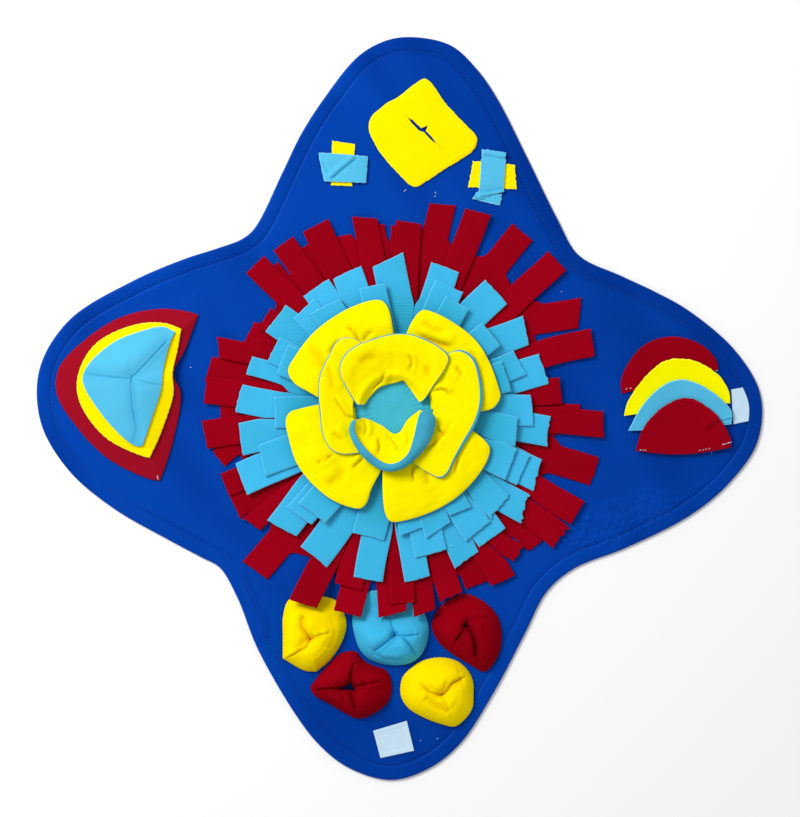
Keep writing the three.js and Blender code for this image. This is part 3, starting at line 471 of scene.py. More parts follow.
# %% Bonded fleece
def bonded_fleece(name):
    material, shader = new_material(name, Roughness=0.95, Sheen_Weight=0.04, Sheen_Roughness=0.6,
                                    Sheen_Tint=linear("#FFF000"), Specular_IOR_Level=0.01)
    place = add_node(material, "ShaderNodeTexCoord")
    patches = add_node(material, "ShaderNodeTexNoise", {"Scale": 1 / PATCHINESS, "Detail": 2.0},
                       {"Vector": (place, "Object")})
    front, back = [add_node(material, "ShaderNodeMix",
                            {"data_type": "RGBA", 6: linear(colour), 7: linear(shade)},
                            {0: (patches, "Fac")})
                   for colour, shade in (("#FFF200", "#FFEA00"), ("#46AACA", "#3A9CBC"))]
    facing = add_node(material, "ShaderNodeAttribute", {"attribute_name": "facing"})
    nibble = add_node(material, "ShaderNodeTexNoise", {"Scale": 1 / (3 * MM), "Detail": 2.0},
                      {"Vector": (place, "Object")})
    ragged = add_node(material, "ShaderNodeMath", {"operation": "MULTIPLY_ADD", 1: 0.5},
                      {0: (nibble, "Fac"), 2: (facing, "Fac")})
    yellow = add_node(material, "ShaderNodeMapRange", {"From Min": 0.1, "From Max": 0.5},
                      {"Value": (ragged, 0)})
    coloured = add_node(material, "ShaderNodeMix", {"data_type": "RGBA"},
                        {0: (yellow, 0), 6: (back, 2), 7: (front, 2)})
    # Painted shade: the fold mark darkens the yellow along creases towards a deep orange-yellow.
    fold = add_node(material, "ShaderNodeAttribute", {"attribute_name": "fold"})
    coloured = add_node(material, "ShaderNodeMix", {"data_type": "RGBA", 7: linear("#E0AC00")},
                        {0: (fold, "Fac"), 6: (coloured, 2)})
    pile = add_node(material, "ShaderNodeTexNoise", {"Scale": 1 / PILE, "Detail": 3.0, "Roughness": 0.6},
                    {"Vector": (place, "Object")})
    bump = add_node(material, "ShaderNodeBump", {"Strength": 0.3, "Distance": 0.4 * MM},
                    {"Height": (pile, "Fac")})
    return join_surface(material, shader, coloured, bump)


petal_fleece = bonded_fleece("bonded_fleece_yellow_blue")
print("petals:", petal_fleece.name)

# %% [markdown]
# ### Coated polyester
# The base is a plain weave under a thin coating. The coating gives a broad satin shine and fine
# leathery crinkles where the cloth was pressed together. The real weave is about 0.3 mm and would
# not show, so it is drawn at 1.6 mm. A mark on the mesh says where the crinkles are. A second mark
# paints light and shade into the blue: painted shade and painted sheen in broad bands.


# %% Coated polyester
CLOUDS = 90 * MM  # broad, faint patches in the dye
WEAVE = 1.6 * MM
CRINKLE = 4.2 * MM


def coated_polyester(name):
    material, shader = new_material(name, Roughness=0.42, IOR=1.5,
                                    Specular_Tint=linear("#1C70FF"), Specular_IOR_Level=0.4)
    place = add_node(material, "ShaderNodeTexCoord")
    clouds = add_node(material, "ShaderNodeTexNoise", {"Scale": 1 / CLOUDS, "Detail": 2.0},
                      {"Vector": (place, "Object")})
    # Besides the dye's faint patches, the mark read here is painted light and shade: darker and lighter bands
    # of painted shade and painted sheen.
    tone_and_painted_light = add_node(material, "ShaderNodeAttribute", {"attribute_name": "tone_and_painted_light"})
    amount = add_node(material, "ShaderNodeMath", {"operation": "MULTIPLY_ADD", 1: 0.5},
                      {0: (clouds, "Fac"), 2: (tone_and_painted_light, "Fac")})
    coloured = add_node(material, "ShaderNodeMix",
                        {"data_type": "RGBA", 6: linear("#043FA4"), 7: linear("#02308A")},
                        {0: (amount, 0)})
    weave = add_node(material, "ShaderNodeTexNoise", {"Scale": 1 / WEAVE, "Detail": 2.0},
                     {"Vector": (place, "Object")})
    crinkle = add_node(material, "ShaderNodeTexVoronoi", {"Scale": 1 / CRINKLE, "feature": "SMOOTH_F1"},
                       {"Vector": (place, "Object")})
    where = add_node(material, "ShaderNodeAttribute", {"attribute_name": "crinkle"})
    crinkled = add_node(material, "ShaderNodeMath", {"operation": "MULTIPLY"},
                        {0: (crinkle, "Distance"), 1: (where, "Fac")})
    relief = add_node(material, "ShaderNodeMath", {"operation": "MULTIPLY_ADD", 1: 0.05},
                      {0: (weave, "Fac"), 2: (crinkled, 0)})
    bump = add_node(material, "ShaderNodeBump", {"Strength": 0.6, "Distance": 1.6 * MM},
                    {"Height": (relief, 0)})
    return join_surface(material, shader, coloured, bump)


base_cloth = coated_polyester("coated_polyester_blue")
print("base:", base_cloth.name)


# %% [markdown]
# ### White tape and threads
# The bare white patches are a smooth woven tape with a faint diagonal rib. The threads are spun
# polyester: round, slightly shiny, and finely twisted, which a diagonal wave gives.


# %% White tape and threads
def woven_tape(name, colour, shade):
    material, shader = new_material(name, Roughness=0.7, Specular_IOR_Level=0.2)
    place = add_node(material, "ShaderNodeTexCoord")
    rib = add_node(material, "ShaderNodeTexWave", {"bands_direction": "DIAGONAL", "Scale": 1 / (5 * MM),
                   "Distortion": 1.0}, {"Vector": (place, "Object")})
    coloured = add_node(material, "ShaderNodeMix", {"data_type": "RGBA", 6: linear(colour), 7: linear(shade)},
                        {0: (rib, "Fac")})
    bump = add_node(material, "ShaderNodeBump", {"Strength": 0.1, "Distance": 0.1 * MM},
                    {"Height": (rib, "Fac")})
    return join_surface(material, shader, coloured, bump)


white_tape = woven_tape("woven_white_tape", "#C8E3F6", "#C2DDF1")
blue_thread = woven_tape("polyester_thread_blue", "#1455B4", "#0B49A6")
yellow_thread = woven_tape("polyester_thread_yellow", "#FFF36A", "#F6E84A")
pale_thread = woven_tape("polyester_thread_pale", "#EAF2FA", "#DCE8F4")
red_thread = woven_tape("polyester_thread_red", "#A3142A", "#8E0F22")
sky_thread = woven_tape("polyester_thread_light_blue", "#7CC9E2", "#68BBD8")
print("threads:", [m.name for m in (blue_thread, yellow_thread, pale_thread, red_thread, sky_thread)])

# %% [markdown]
# ## Base
# The base is two layers of coated cloth with a thin pad, turned over at the edge and stitched 13 mm
# in. Its outline is a smooth curve through marked places. Rings follow that outline inwards, close
# together where the hem has its rounding and its groove, and then shrink towards the middle.

# %% Base
BASE_OUTLINE = [
    (14, 353), (49, 345), (73, 323), (92, 296), (121, 239), (150, 180), (170, 146),
    (211, 126), (243, 111), (275, 93), (319, 55), (343, 13), (340, -32), (314, -70), (277, -101),
    (216, -132), (166, -152), (140, -174), (119, -214), (90, -269), (58, -318), (28, -342),
    (-8, -353), (-49, -341), (-76, -320), (-98, -292), (-135, -228), (-154, -180), (-171, -151),
    (-189, -141), (-219, -125), (-273, -94), (-315, -58), (-341, -13), (-342, 38), (-314, 84),
    (-254, 121), (-205, 142), (-171, 153), (-150, 161), (-138, 171), (-110, 227), (-94, 260),
    (-73, 293), (-39, 335), (-12, 350),
]
ON_BASE = 3.35  # lowest height of whatever lies on the base
HEM_WIDTH = 13.0
BASE_COLUMNS = 500
base_outline = round_outline(BASE_OUTLINE, BASE_COLUMNS)
base_outline = base_outline - (base_outline.min(0) + base_outline.max(0)) / 2
base_run = np.roll(base_outline, -1, 0) - np.roll(base_outline, 1, 0)
base_run /= np.linalg.norm(base_run, axis=1, keepdims=True)
base_inward = np.stack([-base_run[:, 1], base_run[:, 0]], axis=1)

HEM_INSETS = [0, 0.3, 0.9, 1.8, 3.5, 6, 8.5, 10.5, 11.8, 12.5, 13, 13.5, 14.2, 15.5, 18]
INNER_RINGS = 74
INNER_INSET = 60  # what the inset grows by from the last hem ring to the middle
BASE_FOLDS = [  # line of places, width, depth, bank
    ([(-330, 30), (-334, -8), (-318, -45), (-290, -72)], 9, 0.6, 0.0),
    ([(-128, 190), (-112, 215), (-92, 250), (-80, 268)], 8, 0.5, 0.5),
    ([(-150, 150), (-118, 178), (-100, 205)], 12, 0.4, 0.4),
    ([(110, 150), (135, 165), (150, 150)], 10, 0.4, 0.4),
    ([(170, 120), (200, 108), (240, 84)], 12, 0.4, -0.4),
    ([(205, 70), (235, 82), (262, 90)], 14, 0.4, 0.3),
    ([(-180, 118), (-215, 104), (-262, 90)], 10, 0.4, 0.4),
    ([(60, 330), (92, 270), (118, 215)], 8, 0.4, 0.3),
    ([(-230, -80), (-190, -110), (-165, -128)], 12, 0.4, 0.3),
    ([(118, -190), (128, -170), (150, -148)], 7, 0.5, 0.3),
]
HEM_FOLD = [(-157, -144), (-150, -155), (-145, -172), (-135, -192), (-129, -203), (-128, -214)]


def base_relief(x, y, inset):
    """Height of the base's upper face over its plain thickness."""
    height = 0.16 * ripple(x, y, 120, 3) + 0.08 * ripple(x, y, 40, 4) - 0.1
    height = np.clip(height + 0.7 * creases_on(x, y, BASE_FOLDS)[0], -0.7, 0.3)
    hem = np.clip(inset / HEM_WIDTH, 0, 1)
    height = height + 0.25 * np.sin(np.pi * hem) * (inset < HEM_WIDTH)
    height = height - 0.75 * np.exp(-(((inset - HEM_WIDTH) / 0.8) ** 2))
    away, share, _ = from_line(x, y, HEM_FOLD)
    ridge = 1.3 * smooth_step(5.4, 2.8, away) - 0.9 * np.exp(-(((away - 5.8) / 0.8) ** 2))
    return height + ridge * smooth_step(0.0, 0.2, share)


# %% Base sheet
ring_places = [base_outline + base_inward * inset for inset in HEM_INSETS]
ring_insets = [np.full(BASE_COLUMNS, inset) for inset in HEM_INSETS]
for step in range(1, INNER_RINGS):
    share = 1 - step / INNER_RINGS
    ring_places.append(ring_places[len(HEM_INSETS) - 1] * share)
    ring_insets.append(np.full(BASE_COLUMNS, HEM_INSETS[-1] + INNER_INSET * (1 - share)))
flat_places = np.stack(ring_places, axis=1)  # column, ring, x and y
flat_insets = np.stack(ring_insets, axis=1)
x, y = flat_places[..., 0], flat_places[..., 1]
base_middle = BASE_THICKNESS / 2
top_z = BASE_THICKNESS + base_relief(x, y, flat_insets)
top_z = base_middle + (top_z - base_middle) * round_edge(flat_insets, 1.6)
bottom_z = base_middle - base_middle * round_edge(flat_insets, 1.6)
upper = np.concatenate([as_rows(x, y, top_z), [[0, 0, BASE_THICKNESS - 0.1]]])
lower = np.concatenate([as_rows(x, y, bottom_z), [[0, 0, 0]]])
print("rings:", flat_insets.shape[1], "of", flat_insets.shape[0], "places")

# %% Base marks and mesh
CRINKLE_X, CRINKLE_Y, CRINKLE_SLOPE = 208, -107, 0.37  # the crinkled band's middle and direction
CRINKLE_LENGTH, CRINKLE_WIDTH = 64, 21
off_band = y - CRINKLE_Y - CRINKLE_SLOPE * (x - CRINKLE_X)
band = np.exp(-(((x - CRINKLE_X) / CRINKLE_LENGTH) ** 2) - (off_band / CRINKLE_WIDTH) ** 2)
crinkled = smooth_step(0.3, 1.0, 1.6 * band) * (1.5 + 0.9 * ripple(x, y, 18, 7))
crinkle_mark = np.append(crinkled.ravel(), 0)
# Painted light and shade for the base's blue: darker towards the upper right and the bottom lobe, streaks of
# painted sheen, painted shade in a band along the hem on its upper left and in the hem's groove, and a
# lighter painted sheen over the crinkles.
shaded = 0.6 * smooth_step(40, 300, x + 0.6 * y) - 0.25 + 0.22 * ripple(x, y, 150, 3)
shaded = shaded + 0.5 * smooth_step(-240, -310, y)
shaded = shaded + 0.2 * ripple(x + 0.6 * y, 0.35 * y, 46, 4)
shaded = shaded + 0.3 * smooth_step(15.5, 12, flat_insets) * smooth_step(-120, 60, y - 0.3 * x)
shaded = shaded + 0.3 * np.exp(-(((flat_insets - 14.5) / 2) ** 2)) - 0.5 * np.clip(band, 0, 1)
painted_light_mark = np.append(shaded.ravel(), 0.3)
base_mat = sew_mesh("base_cloth", upper, lower, disc_faces(*flat_insets.shape),
                    {"crinkle": (crinkle_mark, 0), "tone_and_painted_light": (painted_light_mark, painted_light_mark)}, base_cloth)
place_on_frame(base_mat, "base_mat")

# %% [markdown]
# ### Top stitching
# One row of lockstitch holds the hem, a stitch every 3.3 mm. Each stitch lies on the cloth in its
# middle and dips into it at both ends.

# %% Top stitching
STITCH_PITCH = 3.3
hem_line = ring_places[HEM_INSETS.index(HEM_WIDTH)]
seam = round_outline(hem_line, 2000)
seam_length = run_along(np.concatenate([seam, seam[:1]]))[-1]
stitch_count = int(seam_length / STITCH_PITCH)
stations = np.array([0.04, 0.25, 0.6, 0.81])
shares = ((np.arange(stitch_count)[:, None] + stations) / stitch_count) % 1
flat = even_places(hem_line, shares.ravel(), closed=True)
lift = np.tile([-0.35, 0.12, 0.12, -0.35], stitch_count)
seam_z = BASE_THICKNESS + base_relief(flat[:, 0], flat[:, 1], np.full(len(flat), HEM_WIDTH)) + lift
paths = np.concatenate([flat, seam_z[:, None]], axis=1).reshape(stitch_count, 4, 3)
place_on_frame(thread_mesh("hem_stitching", paths, 0.28, blue_thread), None)

# %% [markdown]
# ## Rows of strips
# Each row is one ring of fleece slit into strips: two red rows below and three light-blue rows on
# top. The tables give each strip as tip angle, reach, width, lean, slant and its share of the lift
# over the pouches. A strip is a grid from the backing to the tip. A seeded draw gives each one its
# own camber, wave, twist and tone, small enough to stay clear of the row above and below.

# %% Strip tables
RED_LOWER = [
    (133.5, 181, 24, 0, 0, 0), (122.8, 178, 24, 0, 0, 0), (109.2, 173, 24, 0, 2, 0),
    (98.2, 177, 22, 0, 3, 0), (88.9, 174, 23, 0, 0, 0), (78.1, 198, 25, 0, -3, 0),
    (55, 204, 25.5, -5, 0, 0), (28, 194, 28, -18, 8, 0), (357.4, 171, 24, 0, 0, 0),
    (342, 195, 28, 0, 0, 0), (315.5, 184, 22, 0, 4, 0), (293.8, 183, 23, 0, 1, 0),
    (277, 195, 21, 0, -5, 1), (268, 195, 27, 4, -6, 1), (255.8, 200, 26.5, 0, 0, 1),
    (228.2, 206, 29, 0, -3, 0), (211, 182, 24, 0, 2, 0), (195.5, 178, 19, 24, 0, 0),
    (181.5, 170, 24, 0, 0, 0), (168.3, 185, 24, 0, 2, 0), (153.3, 160, 23, 0, 0, 0),
]
RED_UPPER = [
    (135, 193.5, 23.6, 0, 0, 0), (125, 191.5, 23, 0, 0, 0), (114.5, 191, 27, 0, -1.5, 0),
    (100.2, 184, 23.5, 0, 6.5, 0), (87.2, 177, 24.4, 0, 2.5, 0), (68.1, 201, 25, 0, -3, 0),
    (43.2, 205, 25, 0, 0, 0), (19, 194, 26.5, -6, 2.5, 0), (6.3, 154, 25, 0, 0, 0),
    (355.6, 194, 25, 0, -2.5, 0), (329.6, 196, 25.5, 0, 0, 0), (321.3, 196, 25, 0, 1, 0),
    (309.6, 178, 18, 22, 0, 0), (301, 191, 25, 0, 3, 0), (285.3, 185, 23, 0, -3, 0.6),
    (270.8, 184, 24, 0, -1, 1), (254, 176, 27, 0, 0, 1), (243.8, 206, 27, 0, -4, 1),
    (218, 178, 19, 0, -5, 0), (203.7, 181, 23, 0, 1, 0), (187.7, 186.5, 27, 0, -2, 0),
    (174.6, 185, 26, 0, 1, 0), (161.5, 181, 20, 9, -5.5, 0), (146.3, 154, 22.5, 0, -1, 0),
]
BLUE_LOWER = [
    (15.2, 142, 30, 0, -2, 0), (31.7, 141, 28, -12, 4, 0), (50.4, 144, 31, -6, 1, 0),
    (72.1, 141, 28, 0, 1, 0), (94.3, 141.5, 31, 6, -8.5, 0), (111.2, 138.5, 29.5, 0, -2, 0),
    (124.7, 139.5, 29, 0, 0, 0), (144, 145, 32, 0, 1, 0), (164, 148.5, 18, 0, 1, 0),
    (176.2, 153, 27, -8, 1.5, 0), (191, 153.5, 31, 0, 2, 0), (204.2, 164.5, 32, 0, 2, 0),
    (225.5, 159.5, 31.5, 7, -5, 0), (240.1, 162, 32, -6, 1.5, 0), (259.6, 165, 28, 0, 0, 0),
    (276.1, 163, 24.5, 5, -1.5, 0), (294, 157, 27, 0, -5.5, 0), (305.6, 151, 31, 0, 0, 0),
    (321.3, 151.5, 28, 9, -6.5, 0), (334.3, 145, 30.5, 0, -6, 0), (351.4, 142.5, 29, 0, -1, 0),
]
BLUE_MIDDLE = [
    (20.8, 122, 26, 0, -4, 0), (68, 125, 29, 0, 1.5, 0), (134, 131, 27, 0, 0, 0),
    (155, 132, 26, 0, 1, 0), (182, 118, 30, 0, 0, 0), (201, 139.5, 30.5, 0, 4.5, 0),
    (226.8, 139.5, 29, 0, -4, 0), (256.3, 124.5, 31, 0, 0, 0), (282.3, 141, 31, 0, -1.5, 0),
    (302.4, 138, 30, 0, -3.5, 0), (315.5, 133, 28.5, 0, -3, 0), (333.5, 131, 31, 0, -1.5, 0),
    (359.3, 126, 29.5, 0, -3, 0),
]
BLUE_UPPER = [
    (17, 106, 30, 0, -1, 0), (39, 112, 28, 0, 0, 0), (61.5, 114, 25, 0, 0, 0),
    (102.4, 119, 25, 0, 0, 0), (126, 120, 31, 0, 5, 0), (157, 120.5, 30, 0, -1, 0),
    (230.2, 128.5, 32, 0, -1.5, 0), (275.5, 117, 23, 0, -6, 0), (287.7, 121, 27, 0, -8, 0),
    (300.5, 113, 22, 0, 3.5, 0), (333.2, 118, 31.5, 0, -3.5, 0), (348.9, 113, 28, 0, -3, 0),
]
# A slit ends at the whole cloth near the backing: angle of the slit, radius where it starts.
RED_WEB = [
    (0, 150), (15, 146), (24, 152), (36, 160), (49, 163), (62, 158), (73, 171), (83, 174),
    (94, 164), (104, 169), (118, 172), (129, 164), (142, 155), (155, 154), (175, 164), (190, 164),
    (200, 160), (215, 164), (225, 168), (236, 171), (247, 167), (290, 167), (300, 163),
    (310, 158), (322, 152), (336, 148), (349, 156), (360, 150),
]
BLUE_WEB = [(0, 104), (160, 104), (170, 112), (180, 104), (360, 104)]
NO_WEB = [(0, 0), (360, 0)]
# Strips with folded ribs, by tip angle: the radii between which the ribs show.
RIBBED = {94.3: (60, 100), 102.4: (60, 96), 144: (104, 132), 134: (104, 128), 39: (86, 112),
          111.2: (60, 100)}
# Strips whose tip is cut raggedly, by tip angle: depth of the teeth. The rest have PLAIN_FRAY.
FRAYED = {321.3: 1.9, 309.6: 1.4, 315.5: 1.6, 342: 0.6, 218: 1.6, 195.5: 0.9, 285.3: 1.3,
          270.8: 0.8, 351.4: 0.9, 15.2: 0.8, 334.3: 0.8}
PLAIN_FRAY = 0.3
print("strips:", [len(row) for row in (RED_LOWER, RED_UPPER, BLUE_LOWER, BLUE_MIDDLE, BLUE_UPPER)])

# %% Strip shapes
SHEET_MIDDLE = ON_BASE + 0.9  # height of the middle of a cloth that lies on the base
SHEET_HALF = 0.85  # half the thickness of the fleece that the pockets are cut from
BACKING_RADIUS = 58.0
STRIP_THICKNESS = 1.6
ROW_PITCH = ((58, 105, 150, 205), (2.38, 2.85, 2.7, 2.6))  # radius, rise from one row to the next
STRIP_COLUMNS, STRIP_ROWS = 15, 40
POUCH_LIFT = 13  # how far a strip rises where it lies on the pouches


def row_height(level, radius, lift_share):
    """Height of a strip's middle at a distance from the mat's middle."""
    lift = POUCH_LIFT * smooth_step(162, 198, radius)
    return ON_BASE + 1 + level * np.interp(radius, *ROW_PITCH) + lift_share * lift


def strip_centre(strip, radius):
    """Middle of a strip at each radius. A lean sets in over its outer half."""
    angle, reach, _, lean, _, _ = strip
    lean, outward = math.radians(lean), math.radians(angle)
    across = -reach * math.sin(lean)
    forward = np.sqrt(np.maximum(0, radius**2 - across**2))
    off = np.arctan2(forward * math.sin(lean) + across * math.cos(lean),
                     forward * math.cos(lean) - across * math.sin(lean))
    turn = outward + off * smooth_step(reach - 90, reach - 40, radius)
    return np.stack([radius * np.cos(turn), radius * np.sin(turn)], axis=-1)


def strip_run(strip, radius):
    """Which way a strip runs outwards at each radius, and the way to its left."""
    run = strip_centre(strip, radius + 0.5) - strip_centre(strip, radius - 0.5)
    run /= np.linalg.norm(run, axis=1, keepdims=True)
    return run, np.stack([-run[:, 1], run[:, 0]], axis=1)


def strip_edge(strip, neighbour, radius, webs, sign):
    """Places along one long edge of a strip, 1 on its left and -1 on its right, and how whole the
    cloth is there: 1 where it still joins its neighbour, and 0 where the slit has parted them."""
    centre, (_, side) = strip_centre(strip, radius), strip_run(strip, radius)
    turn = np.arctan2(centre[:, 1], centre[:, 0])
    there = strip_centre(neighbour, radius)
    between = np.abs((turn - np.arctan2(there[:, 1], there[:, 0]) + np.pi) % (2 * np.pi) - np.pi)
    room = np.where(between > 2, strip[2], radius * np.sin(between / 2) - 0.5)
    half = np.minimum(strip[2] / 2, room)
    half += (strip[2] / 2 - half) * smooth_step(strip[1] - 30, strip[1] - 8, radius)
    plain = centre + sign * half[:, None] * side
    slit = strip[0] + sign * (sign * (neighbour[0] - strip[0]) % 360) / 2
    web = np.interp(slit % 360, *np.transpose(webs))
    whole = 1 - smooth_step(web - 8, web + 2, radius)
    turn = turn + sign * (between / 2 - 0.12 / radius)
    seam = radius[:, None] * np.stack([np.cos(turn), np.sin(turn)], axis=1)
    return plain + (seam - plain) * whole[:, None], whole


def lay_strip(strip, before, after, level, webs, draw, room, fray):
    """Places and marks of one strip, as arrays of STRIP_COLUMNS by STRIP_ROWS."""
    _, reach, width, _, slant, lift_share = strip
    radius = BACKING_RADIUS + (reach - BACKING_RADIUS) * spread_to_rim(STRIP_ROWS)
    centre, (run, side) = strip_centre(strip, radius), strip_run(strip, radius)
    u = -np.cos(np.linspace(0, np.pi, STRIP_COLUMNS))[:, None]  # -1 on the right, 1 on the left
    left, whole_left = strip_edge(strip, after, radius, webs, 1)
    right, whole_right = strip_edge(strip, before, radius, webs, -1)
    to_left, to_right = np.maximum(u, 0), np.maximum(-u, 0)
    whole = to_left * whole_left + to_right * whole_right
    place = centre + to_left[..., None] * (left - centre) + to_right[..., None] * (right - centre)
    wander = 0.35 * np.sin(radius / draw.uniform(9, 16) + draw.uniform(0, 6)) * smooth_step(60, 90, radius)
    push = slant / 2 * u * smooth_step(reach - 26, reach, radius)
    teeth = fray * ripple(u * width / 2, 0 * u + draw.uniform(0, 90), 5.0, 11)
    push = push + (teeth + draw.uniform(-0.6, 0.6) * u**2) * smooth_step(reach - 5, reach, radius)
    place = place + side * (wander * (1 - whole))[..., None] + run * push[..., None]
    tip = smooth_step(reach - 34, reach, radius)
    camber = draw.uniform(-0.35, 0.35) * (u**2 - 0.4)
    twist = draw.uniform(-0.35, 0.35) * u * tip
    curl = draw.uniform(-0.3, 1.0) * room * tip**2 + draw.uniform(0, 0.5) * room * tip * np.abs(u)
    wave = 0.28 * np.sin(radius / draw.uniform(7, 12) + draw.uniform(0, 6))
    free = smooth_step(60, 80, radius) * (1 - whole)
    z = row_height(level, radius, lift_share) + free * (camber + twist + wave + curl)
    inset = np.minimum((1 - np.abs(u)) * width / 2 + 20 * whole, reach - radius)
    tone_and_painted_light = draw.uniform(-0.25, 0.45) * (1 - whole)
    if level > 1:  # painted shade: the blue rows turn darker and greener towards the flower
        tone_and_painted_light = 0.6 * tone_and_painted_light - 0.2 + 0.8 * smooth_step(126, 88, radius)
    marks = {"inset": inset, "along": radius + push, "tone_and_painted_light": tone_and_painted_light}
    return np.concatenate([place, z[..., None]], axis=-1), marks


def lay_row(name, rows, webs, level, room, seed, material):
    """One row of strips with the backing in its middle, as a single closed sheet."""
    draw = np.random.default_rng(seed)
    ordered = sorted(rows)
    size = STRIP_COLUMNS * STRIP_ROWS
    places = [np.array([[0, 0, row_height(level, 0.0, 0)]])]
    marks = {key: [np.array([value])] for key, value in
             (("inset", 30.0), ("along", 0.0), ("tone_and_painted_light", 0.0), ("ribs", 0.0))}
    quads, fans = [], []
    for i, strip in enumerate(ordered):
        before, after = ordered[i - 1], ordered[(i + 1) % len(ordered)]
        points, strip_marks = lay_strip(strip, before, after, level, webs, draw, room,
                                        FRAYED.get(strip[0], PLAIN_FRAY))
        start, end = RIBBED.get(strip[0], (0, 0))
        far = strip_marks["along"]
        strip_marks["ribs"] = smooth_step(start - 1, start + 6, far) * smooth_step(end + 6, end - 1, far)
        first = 1 + i * size
        quads.append(first + grid_faces(STRIP_COLUMNS, STRIP_ROWS))
        roots = first + np.arange(STRIP_COLUMNS) * STRIP_ROWS
        following = 1 + ((i + 1) % len(ordered)) * size
        ring = np.append(roots, following)
        fans.append(np.stack([ring[:-1], ring[1:], np.zeros(len(ring) - 1, int)], axis=1))
        places.append(points.reshape(-1, 3))
        for key in marks:
            marks[key].append(strip_marks[key].ravel())
    middle = np.concatenate(places)
    faces = [np.concatenate(quads), np.concatenate(fans)]
    marks = {key: np.concatenate(parts) for key, parts in marks.items()}
    half = STRIP_THICKNESS / 2 * round_edge(marks["inset"], 0.9)
    up = np.array([0, 0, 1.0])
    upper, lower = middle + half[:, None] * up, middle - half[:, None] * up
    print(f"{name}: {sheet_area(middle, faces):.5f} square metres of cloth")
    return sew_mesh(name, upper, lower, faces, {k: (v, v) for k, v in marks.items()}, material)


# %% Lay the rows
FRINGE = [  # row, strips, slits, level, room to curl, seed, flat size across, flat area
    ("red", "lower", RED_LOWER, RED_WEB, 0, 0.4, 21, 0.412, 0.092),
    ("red", "upper", RED_UPPER, NO_WEB, 1, 1.1, 22, 0.412, 0.076),
    ("blue", "lower", BLUE_LOWER, BLUE_WEB, 2, 0.7, 23, 0.332, 0.060),
    ("blue", "middle", BLUE_MIDDLE, NO_WEB, 3, 0.5, 24, 0.284, 0.0365),
    ("blue", "upper", BLUE_UPPER, NO_WEB, 4, 0.9, 25, 0.258, 0.0288),
]
FRINGE_CLOTH = {"red": (red_fleece, "red_fleece"), "blue": (blue_fleece, "light_blue_fleece")}
for hue, row, strips, webs, level, room, seed, across, area in FRINGE:
    cloth, slot = FRINGE_CLOTH[hue]
    fringe = lay_row(f"{hue}_strips_{row}", strips, webs, level, room, seed, cloth)
    place_on_frame(fringe, f"{hue}_fringe_{row}")

# %% [markdown]
# ## Flower
# The flower is a light-blue disc, the heart, with seven bonded petals sewn round it in three layers
# and an eighth that curls up into a cup. A petal is sewn at its inner edge, climbs over the layer
# below, swells and then rounds over at its rim. Its rim is a curve through marked points.

# %% Petal tables
FLOWER_X, FLOWER_Y = -6.0, 0.0
HEART_TOP = 16.72
PETAL_SEAT = 18.57
PETAL_THICKNESS = 2.7
BACK_FACING = -3.0  # the mark that makes a petal's lower skin blue
PETAL_MOUND = ((36, 50, 65, 80, 95, 112), (0, 1.2, 3, 4, 2.8, 0.5))
PETAL_LAYER = ((38, 54), (3.6, 5.2))
INNER_CLIMB = ((24, 26.5, 32.5), (0, 0.7, 7.2))
INNER_ROOT_N = [(20.5, 5), (14.5, 12.5), (8.5, 21.5), (3.5, 27), (-4, 24.5), (-16.5, 21.5), (-27, 12.5),
                (-35.5, 2.5)]
INNER_ROOT_S = [(-36, -9.5), (-29, -11.5), (-16.5, -17), (-6, -24.5), (0.5, -23), (8.5, -11), (20.5, -2)]
